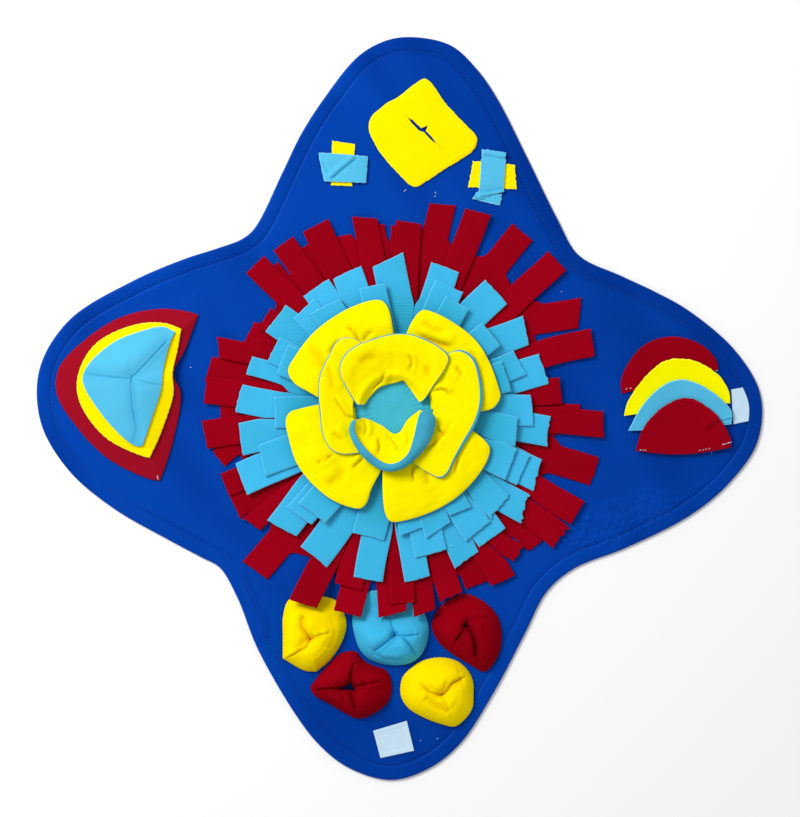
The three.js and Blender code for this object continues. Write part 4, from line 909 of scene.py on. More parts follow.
# Each petal: layer, sewn edge (radius, first and last angle, or marked places), widths of the blue
# rim from its first end to its last, rim places, creases.
PETALS = {
    "petal_outer_nw": (0, (36, 88, 172), (0.5, 0.5, 0.5), [
        (-6, 70), (-12, 97), (-18, 102.5), (-30, 101.5), (-55, 91), (-81, 72), (-99, 49),
        (-105.5, 36), (-100, 25), (-87, 17), (-78, 11.5)], [
        ([(-36, 58), (-38, 63), (-43, 72), (-52, 78.5)], 1.9, 3.2, 2.2),
        ([(-34.5, 61), (-31, 68), (-24, 74.5)], 2.2, 2.6, -1.4),
        ([(-67, 51), (-62, 58), (-56, 65)], 3.2, 1.3, 0.8),
        ([(-88, 62), (-76, 50), (-72, 36)], 7.0, 0.9, 0.7)]),
    "petal_outer_ne": (0, (36, -2, 80), (0.5, 0.4, 0.5), [
        (77, -2), (89, 1), (95.5, 11), (94, 19), (85.5, 43), (72.5, 64), (53, 80), (32, 91),
        (22, 93), (14, 85), (7, 70)], [
        ([(16, 72), (26, 66), (40, 61), (54, 58)], 3.6, 2.6, 1.6),
        ([(20, 84), (31, 75), (44, 72)], 5.0, 1.0, 0.7),
        ([(66, 56), (74, 42)], 5.0, 0.9, 0.7)]),
    "petal_outer_sw": (0, (36, 178, 255), (0.5, 0.4, 0.6), [
        (-78, 3), (-95, -1), (-104, -4), (-107.5, -11), (-105, -27), (-98, -50), (-84.5, -69),
        (-66, -85), (-48, -93), (-37, -94.5), (-32, -90), (-28, -78), (-18, -59)], [
        ([(-60, -43), (-64, -44.5), (-71, -49), (-80, -53)], 1.7, 2.4, 1.8),
        ([(-33, -45.5), (-37, -49), (-46, -57)], 1.8, 2.2, -1.5),
        ([(-70, -74), (-58, -64), (-52, -52)], 6.0, 0.9, 0.7)]),
    "petal_outer_se": (0, (36, 260, 345), (0.6, 0.4, 0.5), [
        (-15, -59), (-15, -84), (-12.5, -101), (-8, -107), (7, -105.5), (32, -97), (54, -84),
        (73, -65), (83, -49), (85.5, -38), (81, -31), (70, -22)], [
        ([(14, -53), (12.5, -60), (13, -71)], 1.8, 2.4, 1.6),
        ([(27, -74), (25, -64), (28, -54)], 4.0, 1.3, 0.9),
        ([(55, -46), (53.5, -53), (51, -63)], 2.2, 1.9, -1.3)]),
    "petal_mid_w": (1, (38, 115, 230), (0.8, 1.2, 0.9), [
        (-37, 63), (-49, 67), (-58, 64), (-67, 49), (-75, 31), (-76.5, 11), (-75, -5),
        (-73, -22), (-66, -37), (-57, -42.5), (-35, -42)], [
        ([(-63, 11), (-59, 7), (-50, -6.5), (-41, -10.5)], 1.7, 2.0, 1.5),
        ([(-67, 42), (-64, 27), (-62, 15)], 4.0, 1.0, 0.7),
        ([(-64, -22), (-52, -30)], 4.0, 1.1, 0.7)]),
    "petal_mid_e": (1, (38, 290, 410), (0.8, 3.2, 2.4), [
        (14, -52), (30, -62), (39, -65.5), (45, -62), (52, -49), (62, -32), (73, -13),
        (78, 6), (77, 27), (70, 48), (58, 55), (45, 51.5)], [
        ([(31, 16.5), (38, 18.5), (44, 17.5), (49, 11.5)], 1.7, 2.6, 2.0),
        ([(34, -17), (39, -21.5), (45, -27)], 1.8, 2.0, 1.4),
        ([(22, -40), (33.5, -33), (43.5, -22.5), (50, -10)], 3.0, 1.2, -0.9),
        ([(60, 31), (52, 40)], 3.2, 1.5, 1.0)]),
    "petal_inner_n": (2, INNER_ROOT_N, (1.5, 1.1, 1.4), [
        (23.5, 8), (32.5, 22), (45, 42), (46.5, 49), (39, 57), (25, 65), (10, 70), (-4.5, 70.5),
        (-23, 66), (-41, 59), (-52, 50), (-56.5, 38), (-50, 19), (-40, 3)], [
        ([(8, 54), (11, 48), (12, 42.5), (10.5, 37), (7.5, 31)], 1.6, 2.4, 1.6),
        ([(-11, 37), (-14, 32), (-17, 26.5), (-27, 17.5)], 1.8, 2.8, 2.0),
        ([(-40, 42), (-30, 49), (-20, 50)], 5.0, 1.1, 0.8),
        ([(28, 30), (24, 42)], 5.0, 1.0, 0.7)]),
}
print("petals:", len(PETALS) + 1)


# %% Petals
def petal_height(layer, radius):
    """Height of a petal's middle by its distance from the flower's middle."""
    mound = np.interp(radius, *PETAL_MOUND) + layer * np.interp(radius, *PETAL_LAYER)
    if layer == 2:
        mound = np.minimum(mound, np.where(radius < 34, np.interp(radius, *INNER_CLIMB), mound))
    return PETAL_SEAT + mound


PETAL_COLUMNS, PETAL_ROWS = 96, 48


def sew_petal(name, layer, root, rim_widths, rim, creases):
    """One petal, as a grid from its sewn edge to its rim."""
    u, v = spread(PETAL_COLUMNS), spread_to_rim(PETAL_ROWS)
    if len(root) == 3:
        turn = np.radians(root[1] + (root[2] - root[1]) * u)
        inner = np.stack([FLOWER_X + root[0] * np.cos(turn), FLOWER_Y + root[0] * np.sin(turn)], axis=1)
    else:
        inner = even_places(root, u)
    outer = even_places(rim, u)
    seed = int(abs(outer).sum()) % 97
    place = inner[:, None] + (outer - inner)[:, None] * v[None, :, None]
    x, y = place[..., 0], place[..., 1]
    radius = np.hypot(x - FLOWER_X, y - FLOWER_Y)
    length = np.linalg.norm(outer - inner, axis=1)[:, None]
    rim_run = run_along(outer)
    across = np.minimum(rim_run, rim_run[-1] - rim_run)[:, None] * (0.35 + 0.65 * v[None, :])
    inset = np.minimum((1 - v)[None, :] * length, across)
    swell = 1.2 * (1 - np.exp(-inset / 4.5)) - 0.85
    droop = 1.3 * np.abs(2 * u[:, None] - 1) ** 4 * smooth_step(58, 78, radius)
    z = petal_height(layer, radius) - 0.6 * droop
    z = z + swell * smooth_step(34 + 6 * layer, 52 + 6 * layer, radius)
    pressed, folded = creases_on(x, y, creases)
    z = z + pressed + 0.4 * ripple(x, y, 30, seed) + 0.16 * ripple(x, y, 9, seed + 3)
    facing = (inset - np.interp(u, (0, 0.5, 1), rim_widths)[:, None]).ravel()
    # The fold mark paints shade into the petal's creases.
    return sew_sheet(name + "_cloth", as_rows(x, y, z), [grid_faces(PETAL_COLUMNS, PETAL_ROWS)],
                     PETAL_THICKNESS / 2 * round_edge(inset.ravel(), 1.5),
                     {"facing": (facing, BACK_FACING), "fold": (folded, 0)}, petal_fleece)


PETAL_FLATS = {  # flat width, length and area of each cut, in metres
    "petal_outer_nw": (0.105, 0.085, 0.0060), "petal_outer_ne": (0.105, 0.090, 0.0056),
    "petal_outer_sw": (0.105, 0.090, 0.0062), "petal_outer_se": (0.105, 0.090, 0.0062),
    "petal_mid_w": (0.112, 0.060, 0.0042), "petal_mid_e": (0.125, 0.060, 0.0052),
    "petal_inner_n": (0.110, 0.075, 0.0056),
}
for name, pattern in PETALS.items():
    petal = place_on_frame(sew_petal(name, *pattern), name)
    width, length, area = PETAL_FLATS[name]

# %% [markdown]
# ### Cup
# The eighth petal stands up and its rim rolls inwards, so from above its blue back shows as a
# crescent. Each section of it is a smooth curve through five places: sewn root, floor, bulge, top
# and rim. Pleats run up the floor where the cloth was gathered.

# %% Cup
CUP_BULGE = [(-43, -11), (-46, -20), (-41, -34), (-32, -46), (-20, -55), (-9, -58), (3, -55),
             (14, -47), (26, -33), (32, -18), (32, -8), (25, -3)]
CUP_RIM = [(-41, -11), (-42, -20), (-37.5, -30), (-27, -42), (-17, -49.5), (-9, -52),
           (0, -49.5), (8, -42), (13, -28), (16, -15), (18, -7), (20, -3)]
CUP_PLEATS = [  # line of places, width, depth, bank
    ([(-33, -11), (-31, -18), (-33, -27)], 1.8, 2.6, 1.8),
    ([(-13, -24), (-6, -31), (-2, -36), (-1, -43)], 1.7, 2.8, 1.8),
    ([(-21, -27), (-19, -36), (-21, -44)], 2.2, 1.8, -1.3),
    ([(6, -20), (8, -29), (6, -38)], 2.4, 1.5, 0.9),
]
FLOOR_LIFT, BULGE_LIFT, TOP_LIFT, RIM_LIFT = 9.2, 14, 18, 18.5  # heights over the petals' seat
CUP_SPAN, CUP_CLIMB = 120, 42  # the cloth's length along its rim and from root to rim
u, v = spread(110), spread(60)
root = np.concatenate([even_places(INNER_ROOT_S, u), np.full((len(u), 1), PETAL_SEAT)], axis=1)
bulge, rim = even_places(CUP_BULGE, u), even_places(CUP_RIM, u)


def raised(flat, height):
    """Places at one height over the petals' seat."""
    return np.concatenate([flat, np.full((len(flat), 1), PETAL_SEAT + height)], axis=1)


floor_line = raised(root[:, :2] + 0.5 * (bulge - root[:, :2]), FLOOR_LIFT)
top_line = raised(bulge + 0.35 * (rim - bulge), TOP_LIFT)
section = np.stack([root, floor_line, raised(bulge, BULGE_LIFT), top_line, raised(rim, RIM_LIFT)])
cup = np.transpose(curve_at(section, v), (1, 0, 2))
inner_share = smooth_step(0.62, 0.4, v)[None, :]
pressed, folded = creases_on(cup[..., 0], cup[..., 1], CUP_PLEATS)
cup[..., 2] += inner_share * pressed
cup[..., 2] += 0.8 * ripple(cup[..., 0], cup[..., 1], 24, 5) * smooth_step(0.1, 0.6, v)[None, :]
inset = np.minimum(np.minimum(u, 1 - u)[:, None] * CUP_SPAN, (1 - v)[None, :] * CUP_CLIMB)
# The fold mark paints shade into the pleats.
cup_piece = sew_sheet("petal_cup_cloth", cup.reshape(-1, 3), [grid_faces(len(u), len(v))],
                      PETAL_THICKNESS / 2 * round_edge(inset.ravel(), 1.8),
                      {"facing": (inset.ravel() - 0.3, BACK_FACING), "fold": (inner_share * folded, 0)},
                      petal_fleece)
place_on_frame(cup_piece, "petal_inner_s")

# %% [markdown]
# ### Heart
# The heart is a plain disc of light-blue fleece. The petals' roots pull fine gathers into its rim.

# %% Heart
HEART_RADIUS = 46.0
HEART_HALF = 0.7  # half the thickness
HEART_MIDDLE = HEART_TOP - 0.75
HEART_COLUMNS, HEART_ROWS = 180, 30
turn = np.arange(HEART_COLUMNS) * 2 * np.pi / HEART_COLUMNS
share = rings_inwards(HEART_ROWS)
x = FLOWER_X + HEART_RADIUS * np.cos(turn)[:, None] * share
y = FLOWER_Y + HEART_RADIUS * np.sin(turn)[:, None] * share
gathers = 0.35 * np.sin(31 * turn + 1.3 * np.sin(5 * turn))[:, None]
gathers = gathers * smooth_step(14, 26, HEART_RADIUS * share)
z = HEART_MIDDLE + np.clip(gathers + 0.3 * ripple(x, y, 22, 31) - 0.1, -0.6, 0.4)
middle = np.concatenate([as_rows(x, y, z), [[FLOWER_X, FLOWER_Y, HEART_MIDDLE]]])
inset = np.append((HEART_RADIUS * (1 - share))[None, :] + 0 * x, HEART_RADIUS)
heart_blue = fleece("polar_fleece_heart_blue", "#46B8D4", "#3FADC9", "#9FD8E8", "#2A8CA8")
heart = sew_sheet("heart_cloth", middle, disc_faces(HEART_COLUMNS, HEART_ROWS),
                  HEART_HALF * round_edge(inset, 0.8), {"inset": (inset, inset)}, heart_blue)
place_on_frame(heart, "flower_heart")

# %% [markdown]
# ## Leaf pocket
# Three cloths are sewn together as a leaf that stands up in the middle, folded along creases that
# meet at its peak. Its right edge is left open. Each layer is rings that shrink to the peak, lifted
# by one shared rise, so that the layers never cut into each other.

# %% Leaf pocket
LEAF_PEAK = np.array([-254, 26.5])
LEAF_RISE = 12.0
LEAF_RED = [(-191, 89, 1), (-203, 92.5), (-230, 94.5), (-266, 86), (-300, 64), (-323.5, 38), (-325, 13),
            (-306, -18), (-276, -48), (-240, -66), (-227.5, -69, 1), (-218, -42), (-208, 2), (-208, 17),
            (-214, 33), (-203, 57)]
LEAF_YELLOW = [(-206.5, 75.5, 1), (-223, 81), (-248, 80), (-286, 63), (-304, 34), (-303, 6), (-278, -28),
               (-244, -45), (-236.5, -47, 1), (-227, -26), (-214, 14), (-214.5, 34), (-210, 56)]
LEAF_BLUE = [(-212, 72.5, 1), (-224, 77.5), (-242, 74), (-270, 63), (-294, 42), (-300, 28), (-290, 6),
             (-261, -28), (-248, -36), (-242.5, -35, 1), (-235, -12), (-225.5, 17), (-222.5, 40),
             (-216.5, 63)]
LEAF_CREASES = [  # line of places, width, depth, bank
    ([(-253.5, 28), (-275, 30), (-299, 32.5)], 0.9, 0.9, -0.4),
    ([(-253.5, 28), (-238, 44), (-220, 63.5)], 0.9, 1.2, 0.5),
    ([(-253.5, 28), (-252, 0.6), (-248, -21), (-252, -32.5)], 0.9, 1.1, 0.5),
    ([(-253.5, 28), (-240, 24.5), (-225, 21.5)], 1.1, 0.5, 0.3),
    ([(-254, 30), (-275, 31), (-299, 32.5)], 8.0, 0.8, -0.7),
    ([(-254, 30), (-237, 46), (-220, 64)], 7.0, 0.9, 0.9),
    ([(-253, 22), (-252, 0.6), (-248, -21), (-252, -34)], 7.0, 0.9, 0.8),
]
LEAF_LAYER = 2.6  # rise from one layer to the next
MOUTH_LIFT, MOUTH_TURN, MOUTH_SPREAD = 7, math.radians(5), math.radians(24)
leaf_edge = round_outline(LEAF_RED, 120)


def leaf_rise(x, y):
    """How high the pocket stands over the base at a place, and how folded its cloth is there."""
    dx, dy = x - LEAF_PEAK[0], y - LEAF_PEAK[1]
    turn = np.arctan2(dy, dx)
    share = np.minimum(1, np.hypot(dx, dy) / reach_of(leaf_edge, LEAF_PEAK, turn))
    off = (turn - MOUTH_TURN) / MOUTH_SPREAD
    outward = share**1.5
    pressed, folded = creases_on(x, y, LEAF_CREASES, fade=0.0)
    rise = LEAF_RISE * (1 - outward) + MOUTH_LIFT * outward * np.exp(-off * off)
    return rise + pressed * (1 - 0.5 * outward), folded


# %% Leaf layers
LEAF_COLUMNS, LEAF_ROWS = 240, 28


def sew_leaf(name, outline, layer, material, rough, seed):
    """One layer of the leaf. Its cut edge nibbles in and out by rough, in millimetres."""
    edge = round_outline(outline, LEAF_COLUMNS)
    nibble = rough * ripple(np.arange(LEAF_COLUMNS) * 1.3, np.zeros(LEAF_COLUMNS), 4.5, seed)
    share = rings_inwards(LEAF_ROWS)
    place = LEAF_PEAK + (edge - LEAF_PEAK)[:, None] * share[None, :, None]
    towards = (LEAF_PEAK - edge) / np.linalg.norm(LEAF_PEAK - edge, axis=1, keepdims=True)
    place = place + (nibble[:, None] * smooth_step(0.9, 1, share))[..., None] * towards[:, None]
    x, y = place[..., 0], place[..., 1]
    rise, folded = leaf_rise(x, y)
    seat = SHEET_MIDDLE + layer * LEAF_LAYER
    z = seat + rise + 0.12 * ripple(x, y, 30, 41)
    inset = (1 - share)[None, :] * np.linalg.norm(edge - LEAF_PEAK, axis=1)[:, None] * 0.8
    inset = np.append(inset.ravel(), 20)
    # The fold mark paints shade into the leaf's creases.
    return sew_sheet(name, np.concatenate([as_rows(x, y, z), [[*LEAF_PEAK, seat + LEAF_RISE]]]),
                     disc_faces(LEAF_COLUMNS, LEAF_ROWS), SHEET_HALF * round_edge(inset, 1.0),
                     {"inset": (inset, inset), "fold": (np.append(0.7 * folded, 0), 0)}, material)


# The fourth colour of each fleece is painted shade for its creases.
bright_red = fleece("polar_fleece_bright_red", "#9E1024", "#930E21", "#A01226", "#7A0814")
pale_blue = fleece("polar_fleece_pale_blue", "#57BEE5", "#4EB5DE", "#8ED8F4", "#2E8FBE", 0.5)
LEAF_LAYERS = {  # outline, layer, cloth, raggedness, seed, slot, flat width, length and area
    "leaf_red": (LEAF_RED, 0, bright_red, 0.15, 51, "red_fleece", (0.140, 0.170, 0.0152)),
    "leaf_yellow": (LEAF_YELLOW, 1, yellow_fleece, 0.22, 52, "yellow_fleece", (0.096, 0.132, 0.0086)),
    "leaf_blue": (LEAF_BLUE, 2, pale_blue, 0.15, 53, "light_blue_fleece", (0.090, 0.115, 0.0063)),
}
for name, (outline, layer, cloth, rough, seed, slot, (width, length, area)) in LEAF_LAYERS.items():
    leaf = place_on_frame(sew_leaf(name + "_cloth", outline, layer, cloth, rough, seed), name)

# %% [markdown]
# ## Half-moon flaps
# Four half moons are sewn along their straight edges, one in front of the other. Their round edges
# stand up a little, so a hand or a nose can lift them. A moon is a grid from sewn edge to arc.

# %% Half-moon flaps
MOONS = {  # layer, sag of the sewn edge, raggedness, creases, and the arc from right to left
    "moon_red_back": (0, 0, 0.2, [], [
        (303, 37), (300, 47), (290, 58), (275, 65.5), (254, 68), (232, 60), (217, 43),
        (210, 25), (211, 14)]),
    "moon_yellow": (1, 0, 0.45, [], [
        (314, 5), (313, 15), (306, 28), (296, 37), (277, 46), (254, 46), (240, 37),
        (225, 20), (216, 5), (213, -7)]),
    "moon_blue": (2, 2, 0.2, [([(303, -12.5), (309, -11), (317, -9)], 0.9, 0.8, 0.5)], [
        (315, -15), (315, -3), (306, 8), (290, 20), (272, 27), (258, 26), (242, 16),
        (229, 1), (217, -21)]),
    "moon_red_front": (3, 5, 0.5, [([(290, -22), (297, -16), (306, -10)], 2.6, 1.0, 0.7)], [
        (314, -37), (314, -29), (303, -9), (291, 2), (274, 10), (257, 6), (239, -8),
        (229, -23), (224, -40)]),
}
MOON_FLATS = {"moon_red_back": (0.095, 0.042, 0.0030), "moon_yellow": (0.104, 0.048, 0.0034),
              "moon_blue": (0.100, 0.046, 0.0033), "moon_red_front": (0.092, 0.050, 0.0034)}
# The fourth colour is painted shade for the creases.
bright_yellow = fleece("polar_fleece_bright_yellow", "#FFFB00", "#FFF500", "#FFFB4A", "#E6B400", 0.5)
MOON_CLOTHS = [(red_fleece, "red_fleece"), (bright_yellow, "yellow_fleece"),
               (pale_blue, "light_blue_fleece"), (red_fleece, "red_fleece")]  # by layer
MOON_COLUMNS, MOON_ROWS = 110, 40
MOON_LAYER, FREE_EDGE_LIFT = 1.2, 4  # rise of each layer, and of the middle of a round edge


def sew_moon(name, layer, sag, rough, creases, arc):
    """One flap, as a grid from its sewn edge to its round edge."""
    u, v = spread(MOON_COLUMNS), spread(MOON_ROWS)
    edge = even_places(arc, u)
    arc = np.array(arc, float)
    share = 0.04 + 0.92 * u
    chord_y = arc[0, 1] + (arc[-1, 1] - arc[0, 1]) * share - sag * np.sin(np.pi * share)
    chord = np.stack([arc[0, 0] + (arc[-1, 0] - arc[0, 0]) * share, chord_y], axis=1)
    place = chord[:, None] + (edge - chord)[:, None] * v[None, :, None]
    teeth = rough * ripple(u * 150, 0 * u, 4.0, 60 + layer)[:, None] * smooth_step(0.94, 1, v)
    x, y = place[..., 0], place[..., 1] + teeth
    free = np.sin(np.pi * u)[:, None] * v**2
    pressed, folded = creases_on(x, y, creases, fade=0.1)
    z = SHEET_MIDDLE + layer * MOON_LAYER + FREE_EDGE_LIFT * free
    z = z + 0.2 * ripple(x, y, 24, 61 + layer) * v + pressed
    length = np.linalg.norm(edge - chord, axis=1)[:, None]
    run = run_along(edge)
    across = np.minimum(run, run[-1] - run)[:, None] * (0.5 + 0.5 * v) + 0.2
    inset = np.minimum(np.minimum((1 - v) * length, v * length), across)
    z = z - 0.35 * np.exp(-(((v * length - 2.6) / 0.8) ** 2))  # the row of stitches along the sewn edge
    # The fold mark paints shade into the flap's creases.
    return sew_sheet(name + "_cloth", as_rows(x, y, z), [grid_faces(MOON_COLUMNS, MOON_ROWS)],
                     SHEET_HALF * round_edge(inset.ravel(), 0.9),
                     {"inset": (inset, inset), "fold": (folded, 0)}, MOON_CLOTHS[layer][0])


for name, pattern in MOONS.items():
    moon = place_on_frame(sew_moon(name, *pattern), name)
    width, length, area = MOON_FLATS[name]

# %% [markdown]
# ## Crossed tabs
# Two pairs of short tabs lie across each other: a light-blue one over a yellow one. The right-hand
# blue tab is folded back under itself at its lower end, and a short tail comes out again. The fold
# is hidden, so only the tab and the tail are built. Any four-cornered cloth is a grid between its
# corners.

# %% Crossed tabs
TABS = {  # layer, corners anticlockwise from the lower left, raggedness, creases, cloth, slot
    "tab_w_yellow": (0, [(-65, 212), (-45, 211), (-42, 251), (-64, 254)], 0.3, [], yellow_fleece,
                     "yellow_fleece"),
    "tab_w_blue": (1, [(-71.6, 215.5), (-31.6, 213.8), (-30, 239.5), (-77, 243)], 0.28,
                   [([(-66, 216.6), (-53, 228), (-39.6, 238.4)], 1.7, 1.3, 1.2),
                    ([(-73, 234), (-67, 222)], 2.0, 0.6, 0.5)], pale_blue, "light_blue_fleece"),
    "tab_e_yellow": (0, [(65, 210), (111.5, 208), (109.5, 231.5), (70, 235)], 0.38, [], yellow_fleece,
                     "yellow_fleece"),
    "tab_e_blue": (1, [(75, 200.6), (99, 205.5), (101.2, 243), (78.3, 246.2)], 0.35,
                   [([(73, 205.5), (86, 206), (101, 209)], 2.2, 0.6, -0.8),
                    ([(77, 240.5), (90, 239), (103, 236.5)], 1.6, 0.8, 0.7)], pale_blue, "light_blue_fleece"),
}
TAB_FLATS = {"tab_w_yellow": (0.022, 0.043, 0.00085), "tab_w_blue": (0.047, 0.030, 0.00115),
             "tab_e_yellow": (0.047, 0.026, 0.00102), "tab_e_blue": (0.026, 0.050, 0.00120)}


def between_corners(corners, count):
    """A grid of count by count places on a four-cornered cloth, its shares u and v, their lengths on
    the first and last edge, and each place's distance in from the nearest edge."""
    u, v = spread(count)[:, None], spread(count)[None, :]
    c0, c1, c2, c3 = [np.array(c, float) for c in corners]
    near, far = c1 + (c0 - c1) * u[..., None], c2 + (c3 - c2) * u[..., None]
    place = near + (far - near) * v[..., None]
    size = (np.linalg.norm(c1 - c0), np.linalg.norm(c3 - c0))
    inset = np.minimum(np.minimum(u, 1 - u) * size[0], np.minimum(v, 1 - v) * size[1])
    return place[..., 0], place[..., 1], u, v, size, inset


TAB_COLUMNS = 44
TAB_HALF = 0.75  # half the thickness
TAB_LAYER, TAB_DROOP = 2.3, 1.1  # rise of the upper tab, and how far its ends come down again


def sew_tab(name, layer, corners, rough, creases, material):
    """One tab. Its cut edges nibble in and out by rough, and an upper tab bends over a lower one."""
    x, y, u, v, _, inset = between_corners(corners, TAB_COLUMNS)
    first, second, _, fourth = corners
    wide = second[0] - first[0] > fourth[1] - first[1]
    seed = int(abs(first[0]) + abs(first[1]))
    x = x + rough * ripple(y, 0 * y, 5.0, seed) * (smooth_step(0.1, 0, u) - smooth_step(0.9, 1, u))
    y = y + rough * ripple(x, 0 * x, 5.0, seed + 1) * (smooth_step(0.9, 1, v) - smooth_step(0.1, 0, v))
    along = np.abs(2 * (u if wide else v) - 1) + 0 * x
    pressed, folded = creases_on(x, y, creases, fade=0.12)
    z = SHEET_MIDDLE + layer * TAB_LAYER - layer * TAB_DROOP * along**4
    z = z + 0.12 * ripple(x, y, 16, seed + 2) + pressed
    # The fold mark paints shade into the tab's creases.
    return sew_sheet(name + "_cloth", as_rows(x, y, z), [grid_faces(TAB_COLUMNS, TAB_COLUMNS)],
                     TAB_HALF * round_edge(inset.ravel(), 0.8),
                     {"inset": (inset, inset), "fold": (folded, 0)}, material)


for name, (*pattern, slot) in TABS.items():
    tab = place_on_frame(sew_tab(name, *pattern), name)
    width, length, area = TAB_FLATS[name]

# %% Folded tail of the right-hand tab
TAIL = [(69, 199), (95.5, 192.6), (97.5, 203.5), (73.5, 206)]
TAIL_CREASES = [([(72, 201), (76, 198), (82, 198.5)], 1.6, 0.5, 0.8)]
tail = sew_tab("tab_e_tail", 0, TAIL, 0.25, TAIL_CREASES, pale_blue)
place_on_frame(tail, None)

# %% [markdown]
# ## Slit patch
# A soft yellow square is sewn down round its edge, and two crossing cuts let food in. Its mesh is a
# ring of cloth between the outer outline and the cut, so the cut is a real hole with real depth.

# %% Slit patch
SLIT_PATCH = [(23.5, 313), (30, 309.5), (43, 291), (63.5, 269), (73.5, 258), (73.5, 251), (68, 243),
              (43, 227), (24, 214.5), (17, 210.5), (10.5, 212), (-3, 225), (-19, 244), (-29, 265),
              (-27, 276), (-14.5, 288), (0.5, 297), (15.5, 309)]
SLIT_CUT = np.array([(6, 278.5), (12, 270.5), (18.6, 263.8), (22.5, 262.3), (29, 256), (37.5, 248.5),
                     (30.5, 257.8), (25, 263.3), (27, 268.5), (20.8, 265.8), (13.6, 272.5)])
SLIT_CENTRE = np.array([21.5, 264.3])
SLIT_LINE = [(6.5, 279), (20.5, 264), (38.5, 247.5)]  # its left side is the lip that stands up
SLIT_COLUMNS, SLIT_ROWS = 180, 42
PUFF = 1.3  # how far the patch swells inside its seam
spokes = np.arctan2(*(SLIT_CUT - SLIT_CENTRE).T[::-1])
turn = np.sort(np.concatenate([np.linspace(-np.pi, np.pi, SLIT_COLUMNS, endpoint=False), spokes]))
outer_reach = reach_of(round_outline(SLIT_PATCH, 300), SLIT_CENTRE, turn)
cut_reach = np.maximum(reach_of(SLIT_CUT, SLIT_CENTRE, turn), 0.15)
outer_reach = outer_reach + 0.3 * ripple(turn * 46, 0 * turn, 5.0, 71)
share = 0.5 + 0.5 * np.cos(np.linspace(0, np.pi, SLIT_ROWS))
reach = cut_reach[:, None] + (outer_reach - cut_reach)[:, None] * share[None, :]
x = SLIT_CENTRE[0] + reach * np.cos(turn)[:, None]
y = SLIT_CENTRE[1] + reach * np.sin(turn)[:, None]
from_seam = outer_reach[:, None] - reach
inset = np.minimum(from_seam, reach - cut_reach[:, None])
puff = PUFF * (1 - np.exp(-from_seam / 7)) + 0.25 * ripple(x, y, 40, 72)
away, _, side = from_line(x, y, SLIT_LINE)
lip = 0.9 * np.exp(-away / 3.0) * np.where(side > 0, 1, 0.1)
z = SHEET_MIDDLE + puff * smooth_step(0, 3, from_seam) + lip
edge_mark = np.where(from_seam < 3, inset, 9.0).ravel()  # the cut shows no paler edge
slit_patch = sew_sheet("slit_patch_cloth", as_rows(x, y, z),
                       [grid_faces(len(turn), SLIT_ROWS, closed=True)[:, ::-1]],
                       SHEET_HALF * round_edge(inset.ravel(), 0.9),
                       {"inset": (edge_mark, edge_mark)}, yellow_fleece)
place_on_frame(slit_patch, "slit_patch")

# %% [markdown]
# ## White patches
# Two small bare patches of white tape are sewn near the edge. A turned border runs round the lower
# one, and the right-hand one is folded over at its lower end.

# %% White patches
WHITE_PATCHES = {  # corners anticlockwise from the lower left, border, right bulge, folded, flat size
    "patch_bottom": ([(-18, -332), (14, -325), (7, -296.5), (-25, -306)], 3.4, 0.0, False,
                     (0.033, 0.030, 0.00096)),
    "patch_right": ([(317, -15), (331.5, -12), (326, 20), (315, 18)], 2.4, 3.0, True,
                    (0.015, 0.034, 0.00043)),
}
TAPE_COLUMNS = 40
TAPE_MIDDLE, TAPE_HALF, TAPE_FOLD = ON_BASE + 0.5, 0.42, 0.3  # middle height, half thickness, step
for name, (corners, border, bulge, folded_over, (width, length, area)) in WHITE_PATCHES.items():
    x, y, u, v, size, inset = between_corners(corners, TAPE_COLUMNS)
    x = x + bulge * np.sin(np.pi * v) * (1 - u)
    ledge = v * size[1] if folded_over else inset
    z = TAPE_MIDDLE - TAPE_FOLD * smooth_step(border - 0.5, border + 0.5, ledge)
    z = z + 0.06 * ripple(x, y, 14, 81)
    patch = sew_sheet(name + "_tape", as_rows(x, y, z), [grid_faces(TAPE_COLUMNS, TAPE_COLUMNS)],
                      TAPE_HALF * round_edge(inset.ravel(), 0.5), {}, white_tape)
    place_on_frame(patch, name)

# %% [markdown]
# ## Pouches
# Five round pieces of fleece are overlocked at the edge, sewn down, and their middles pushed in, so
# each is a puffy ring with a puckered mouth. A pouch is rings from its sewn rim over a dome to the
# mouth. Creases run in to the mouth, and their banks swell as stuffed cloth does.

# %% Pouches
POD_SECTION = ((0, 0.1, 0.22, 0.4, 0.62, 0.82, 1), (0, 0.3, 0.58, 0.85, 0.98, 0.96, 0.8))
# The fourth colour of each fleece is painted shade for its creases.
pouch_red = fleece("polar_fleece_pouch_red", "#940214", "#880210", "#940214", "#4A020A")
pouch_yellow = fleece("polar_fleece_pouch_yellow", "#FFE600", "#FFDC00", "#FFEE40", "#DCA400")
